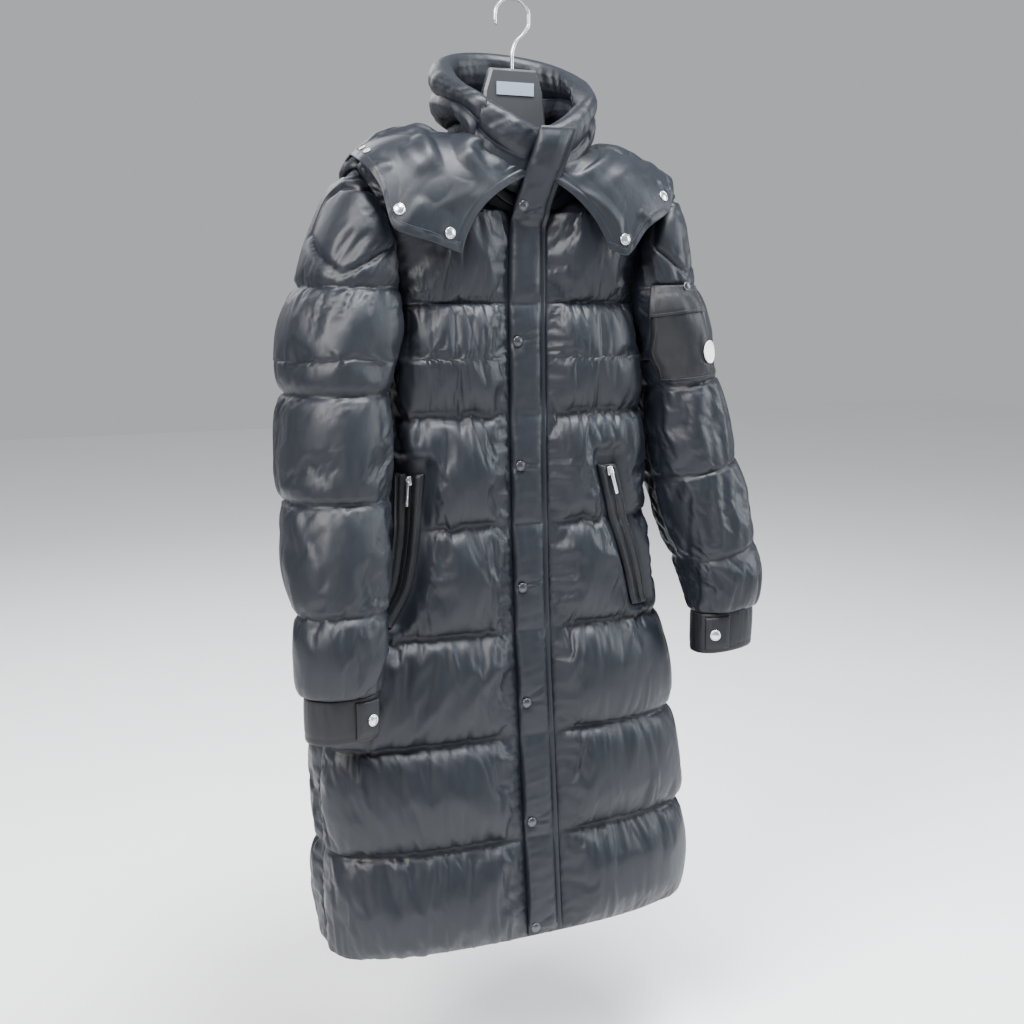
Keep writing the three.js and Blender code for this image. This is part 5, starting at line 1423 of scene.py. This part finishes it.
# The bare patch: an oval of twill with an overcast edge, bent to the pocket under it.
def makePatch():
    flat, out = bagOuter.reshape(-1, 3), bagNormal.reshape(-1, 3)
    near = np.argsort(((flat - nodeMiddle("badge")) ** 2).sum(1))[:400]
    n = unit(out[near[:150]].mean(0))
    point = flat[near[:20]].mean(0)
    r = np.array([0, 0.3, 0.6, 0.8, 0.86, 0.9, 0.95, 0.99, 1, 1, 0.9, 0])
    h = np.array([1.7, 1.7, 1.7, 1.7, 1.75, 2.3, 2.5, 2.2, 1.6, 0.6, 0.2, 0.2])
    turn = np.linspace(0, 2 * pi, 97)
    bead = 1 + 0.012 * np.sin(turn * 48) * (r[:, None] > 0.88)
    oval = [r[:, None] * half * wave * bead for half, wave in ((11, np.cos(turn)), (15, np.sin(turn)))]
    grid = np.stack([*oval, h[:, None] + 0 * turn], -1)
    grid[..., 2] -= (grid[..., 0] ** 2) / 90
    top = ((flat[near] - point) @ n).max()
    patch = solidPiece("badge_patch", [grid], point + n * max(top, 0.6), standing(n))
    settle(patch, paleTwill, ["badge"])


makePatch()
print("sleeve pocket made")

pullSettings = dict(
    right=dict(
        pivot=(-0.17008, -0.05907, -0.5987), down=(-0.069, -0.002, -0.998), normal=(-0.639, -0.768, 0.046)),
    left=dict(
        pivot=(0.10814, -0.08036, -0.59871), down=(0.277, 0.003, -0.961), normal=(0.112, -0.993, 0.029)),
    width=4.6, length=36, thickness=1.5, wire=0.55,
)


# A rectangle with quarter circles at its corners.
def roundedOutline(left, right, bottom, top, radius, steps=7):
    corners = [(right - radius, top - radius, 0), (left + radius, top - radius, pi / 2),
               (left + radius, bottom + radius, pi), (right - radius, bottom + radius, 1.5 * pi)]
    turn = np.linspace(0, pi / 2, steps)
    arc = lambda x, y, a: np.stack([x + radius * np.cos(a + turn), y + radius * np.sin(a + turn)], -1)
    return np.concatenate([arc(*corner) for corner in corners])


# A zip's slider, with its cheeks and bridge, and its pull tab: a ribbed plate with a ring at its top.
def makeZipPull(name):
    s = pullSettings
    given = s[name]
    n = unit(np.array(given["normal"]))
    x = unit(np.cross(given["down"], n))
    y = unit(np.cross(n, x))
    axes = np.stack([x, y, n])
    pivot = np.array(given["pivot"]) * 1000 + [0, 0, hookLevel]
    body = plate(roundedOutline(-4.5, 4.5, -6, 6, 2.4), 3.2, 0.8)
    body[..., 0] *= 1 + 0.12 * np.sin(body[..., 1] * 0.5)
    bridge = plate(roundedOutline(-1.4, 1.4, -4.6, 3.4, 1.2), 2.0, 0.7) + [0, 0, 2.4]
    slider = solidPiece("slider_" + name + "_body", [body, bridge], pivot - n * 3.1 + y * 2.5, axes)
    settle(slider, silverMetal, ["slider_" + name])
    half = s["width"] / 2
    outline = roundedOutline(-half, half, 3.4, s["length"] - 0.6, 2.0)
    tab = plate(outline, s["thickness"], 0.45)
    rib = lambda foot: plate(roundedOutline(-half + 0.9, half - 0.9, foot, foot + 1.5, 0.7), 0.8, 0.3)
    grip = [rib(foot) + [0, 0, s["thickness"] / 2] for foot in np.arange(22, 32, 2.6)]
    turn, around = np.linspace(0, 2 * pi, 25)[:, None], np.linspace(0, 2 * pi, 9)[None]
    wire = s["wire"]
    ring = np.stack([(2.1 + wire * np.cos(around)) * np.cos(turn),
                     2.4 + (2.9 + wire * np.cos(around)) * np.sin(turn),
                     wire * np.sin(around) + 0 * turn], -1)
    pull = solidPiece("pull_" + name + "_tab", [tab, *grip, ring], pivot, axes)
    settle(pull, silverMetal, ["pull_" + name], body="pull_" + name)


for name in ("right", "left"):
    makeZipPull(name)

hookSettings = dict(
    wire=2.2, radius=24, rings=120,
    turns=[-40, -15, 15, 45, 75, 105, 135, 165, 190, 205],
    stem=[(0, 0, 292), (0, 0, 302), (0, 0, 313), (3.6, 0, 327)],
)


# The hook: a round wire carried along a smooth line up the stem and round the arc.
def makeHook():
    s = hookSettings
    centre = hookLevel + s["wire"] - s["radius"]
    turn = np.radians(s["turns"])
    arc = np.stack([s["radius"] * np.cos(turn), 0 * turn, centre + s["radius"] * np.sin(turn)], -1)
    knots = np.concatenate([s["stem"], arc])
    length = lengthAlong(knots[None], 1)[0]
    track = dict(level=length, x=knots[:, 0], z=knots[:, 2])
    at = np.linspace(0, length[-1], s["rings"])
    line = np.stack([readRows(track, "x", at), 0 * at, readRows(track, "z", at)], -1)
    tangent = unit(np.gradient(line, axis=0))
    side = np.array([0, 1.0, 0])
    out = unit(np.cross(tangent, side))
    around = np.linspace(0, 2 * pi, 17)[None, :, None]
    radius = np.full(s["rings"], s["wire"])
    radius[-4:] = s["wire"] * np.sqrt([0.92, 0.7, 0.4, 0.0])
    radius[0] = 0
    radius = radius[:, None, None]
    grid = line[:, None] + radius * (np.cos(around) * out[:, None] + np.sin(around) * side)
    hook = solidPiece("hook_wire_bent", [grid])
    settle(hook, silverMetal, ["hook"])


makeHook()
for node, material in (("hanger", hangerPlastic), ("hanger_pane", palePlastic)):
    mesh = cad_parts[node].data
    mesh.materials.clear()
    mesh.materials.append(material)
print("hanger and hook made")


def aim(obj, target):
    obj.rotation_euler = (Vector(target) - obj.location).to_track_quat("-Z", "Y").to_euler()


def addLight(name, place, size, power, colour=(1, 1, 1)):
    light = bpy.data.lights.new(name, "AREA")
    light.shape = "RECTANGLE"
    light.size, light.size_y = size
    light.energy = power
    light.color = colour
    lamp = bpy.data.objects.new(name, light)
    bpy.context.scene.collection.objects.link(lamp)
    lamp.location = place
    aim(lamp, (0, 0, -0.75))


floorLevel = -1.5
floorMesh = bpy.data.meshes.new("floor")
corners = [(x, y, floorLevel) for x, y in ((-9, -9), (9, -9), (9, 9), (-9, 9))]
floorMesh.from_pydata(corners, [], [(0, 1, 2, 3)])
floor = bpy.data.objects.new("floor", floorMesh)
bpy.context.scene.collection.objects.link(floor)
floorPaint, nodes, link, shader, place = shaderParts("floorPaint")
speckle = useGroup(nodes, crinkleGroup, Size=3.0, Stretch=1.0)
link(place, speckle.inputs["Vector"])
paint = mixColour(nodes, link, speckle.outputs["Tone"], (0.88, 0.88, 0.89), (0.93, 0.93, 0.94))
link(paint, shader.inputs["Base Color"])
shader.inputs["Roughness"].default_value = 0.9
floorMesh.materials.append(floorPaint)

addLight("keyLight", (-2.3, -1.5, 1.3), (1.3, 1.3), 250, (1, 0.98, 0.96))
addLight("topLight", (0.2, -0.9, 1.9), (1.2, 0.8), 250, (0.94, 0.97, 1))
addLight("sideLight", (2.3, -0.9, 0.2), (0.6, 1.6), 80, (0.9, 0.95, 1))
addLight("backLight", (-0.6, 2.4, 1.2), (2.2, 1.6), 60, (0.95, 0.97, 1))

world = bpy.data.worlds.new("studio")
bpy.context.scene.world = world
world.use_nodes = True
world.node_tree.nodes["Background"].inputs["Color"].default_value = (0.94, 0.96, 1, 1)
world.node_tree.nodes["Background"].inputs["Strength"].default_value = 0.5

camera = bpy.data.cameras.new("camera")
camera.lens, camera.sensor_width = 46.2, 36
camera.clip_end = 60
eye = bpy.data.objects.new("camera", camera)
bpy.context.scene.collection.objects.link(eye)
eye.location = (-0.7159, -1.6078, -0.361)
eye.rotation_euler = (math.radians(80.3), 0, math.radians(-24))
bpy.context.scene.camera = eye
print("camera and lights set")
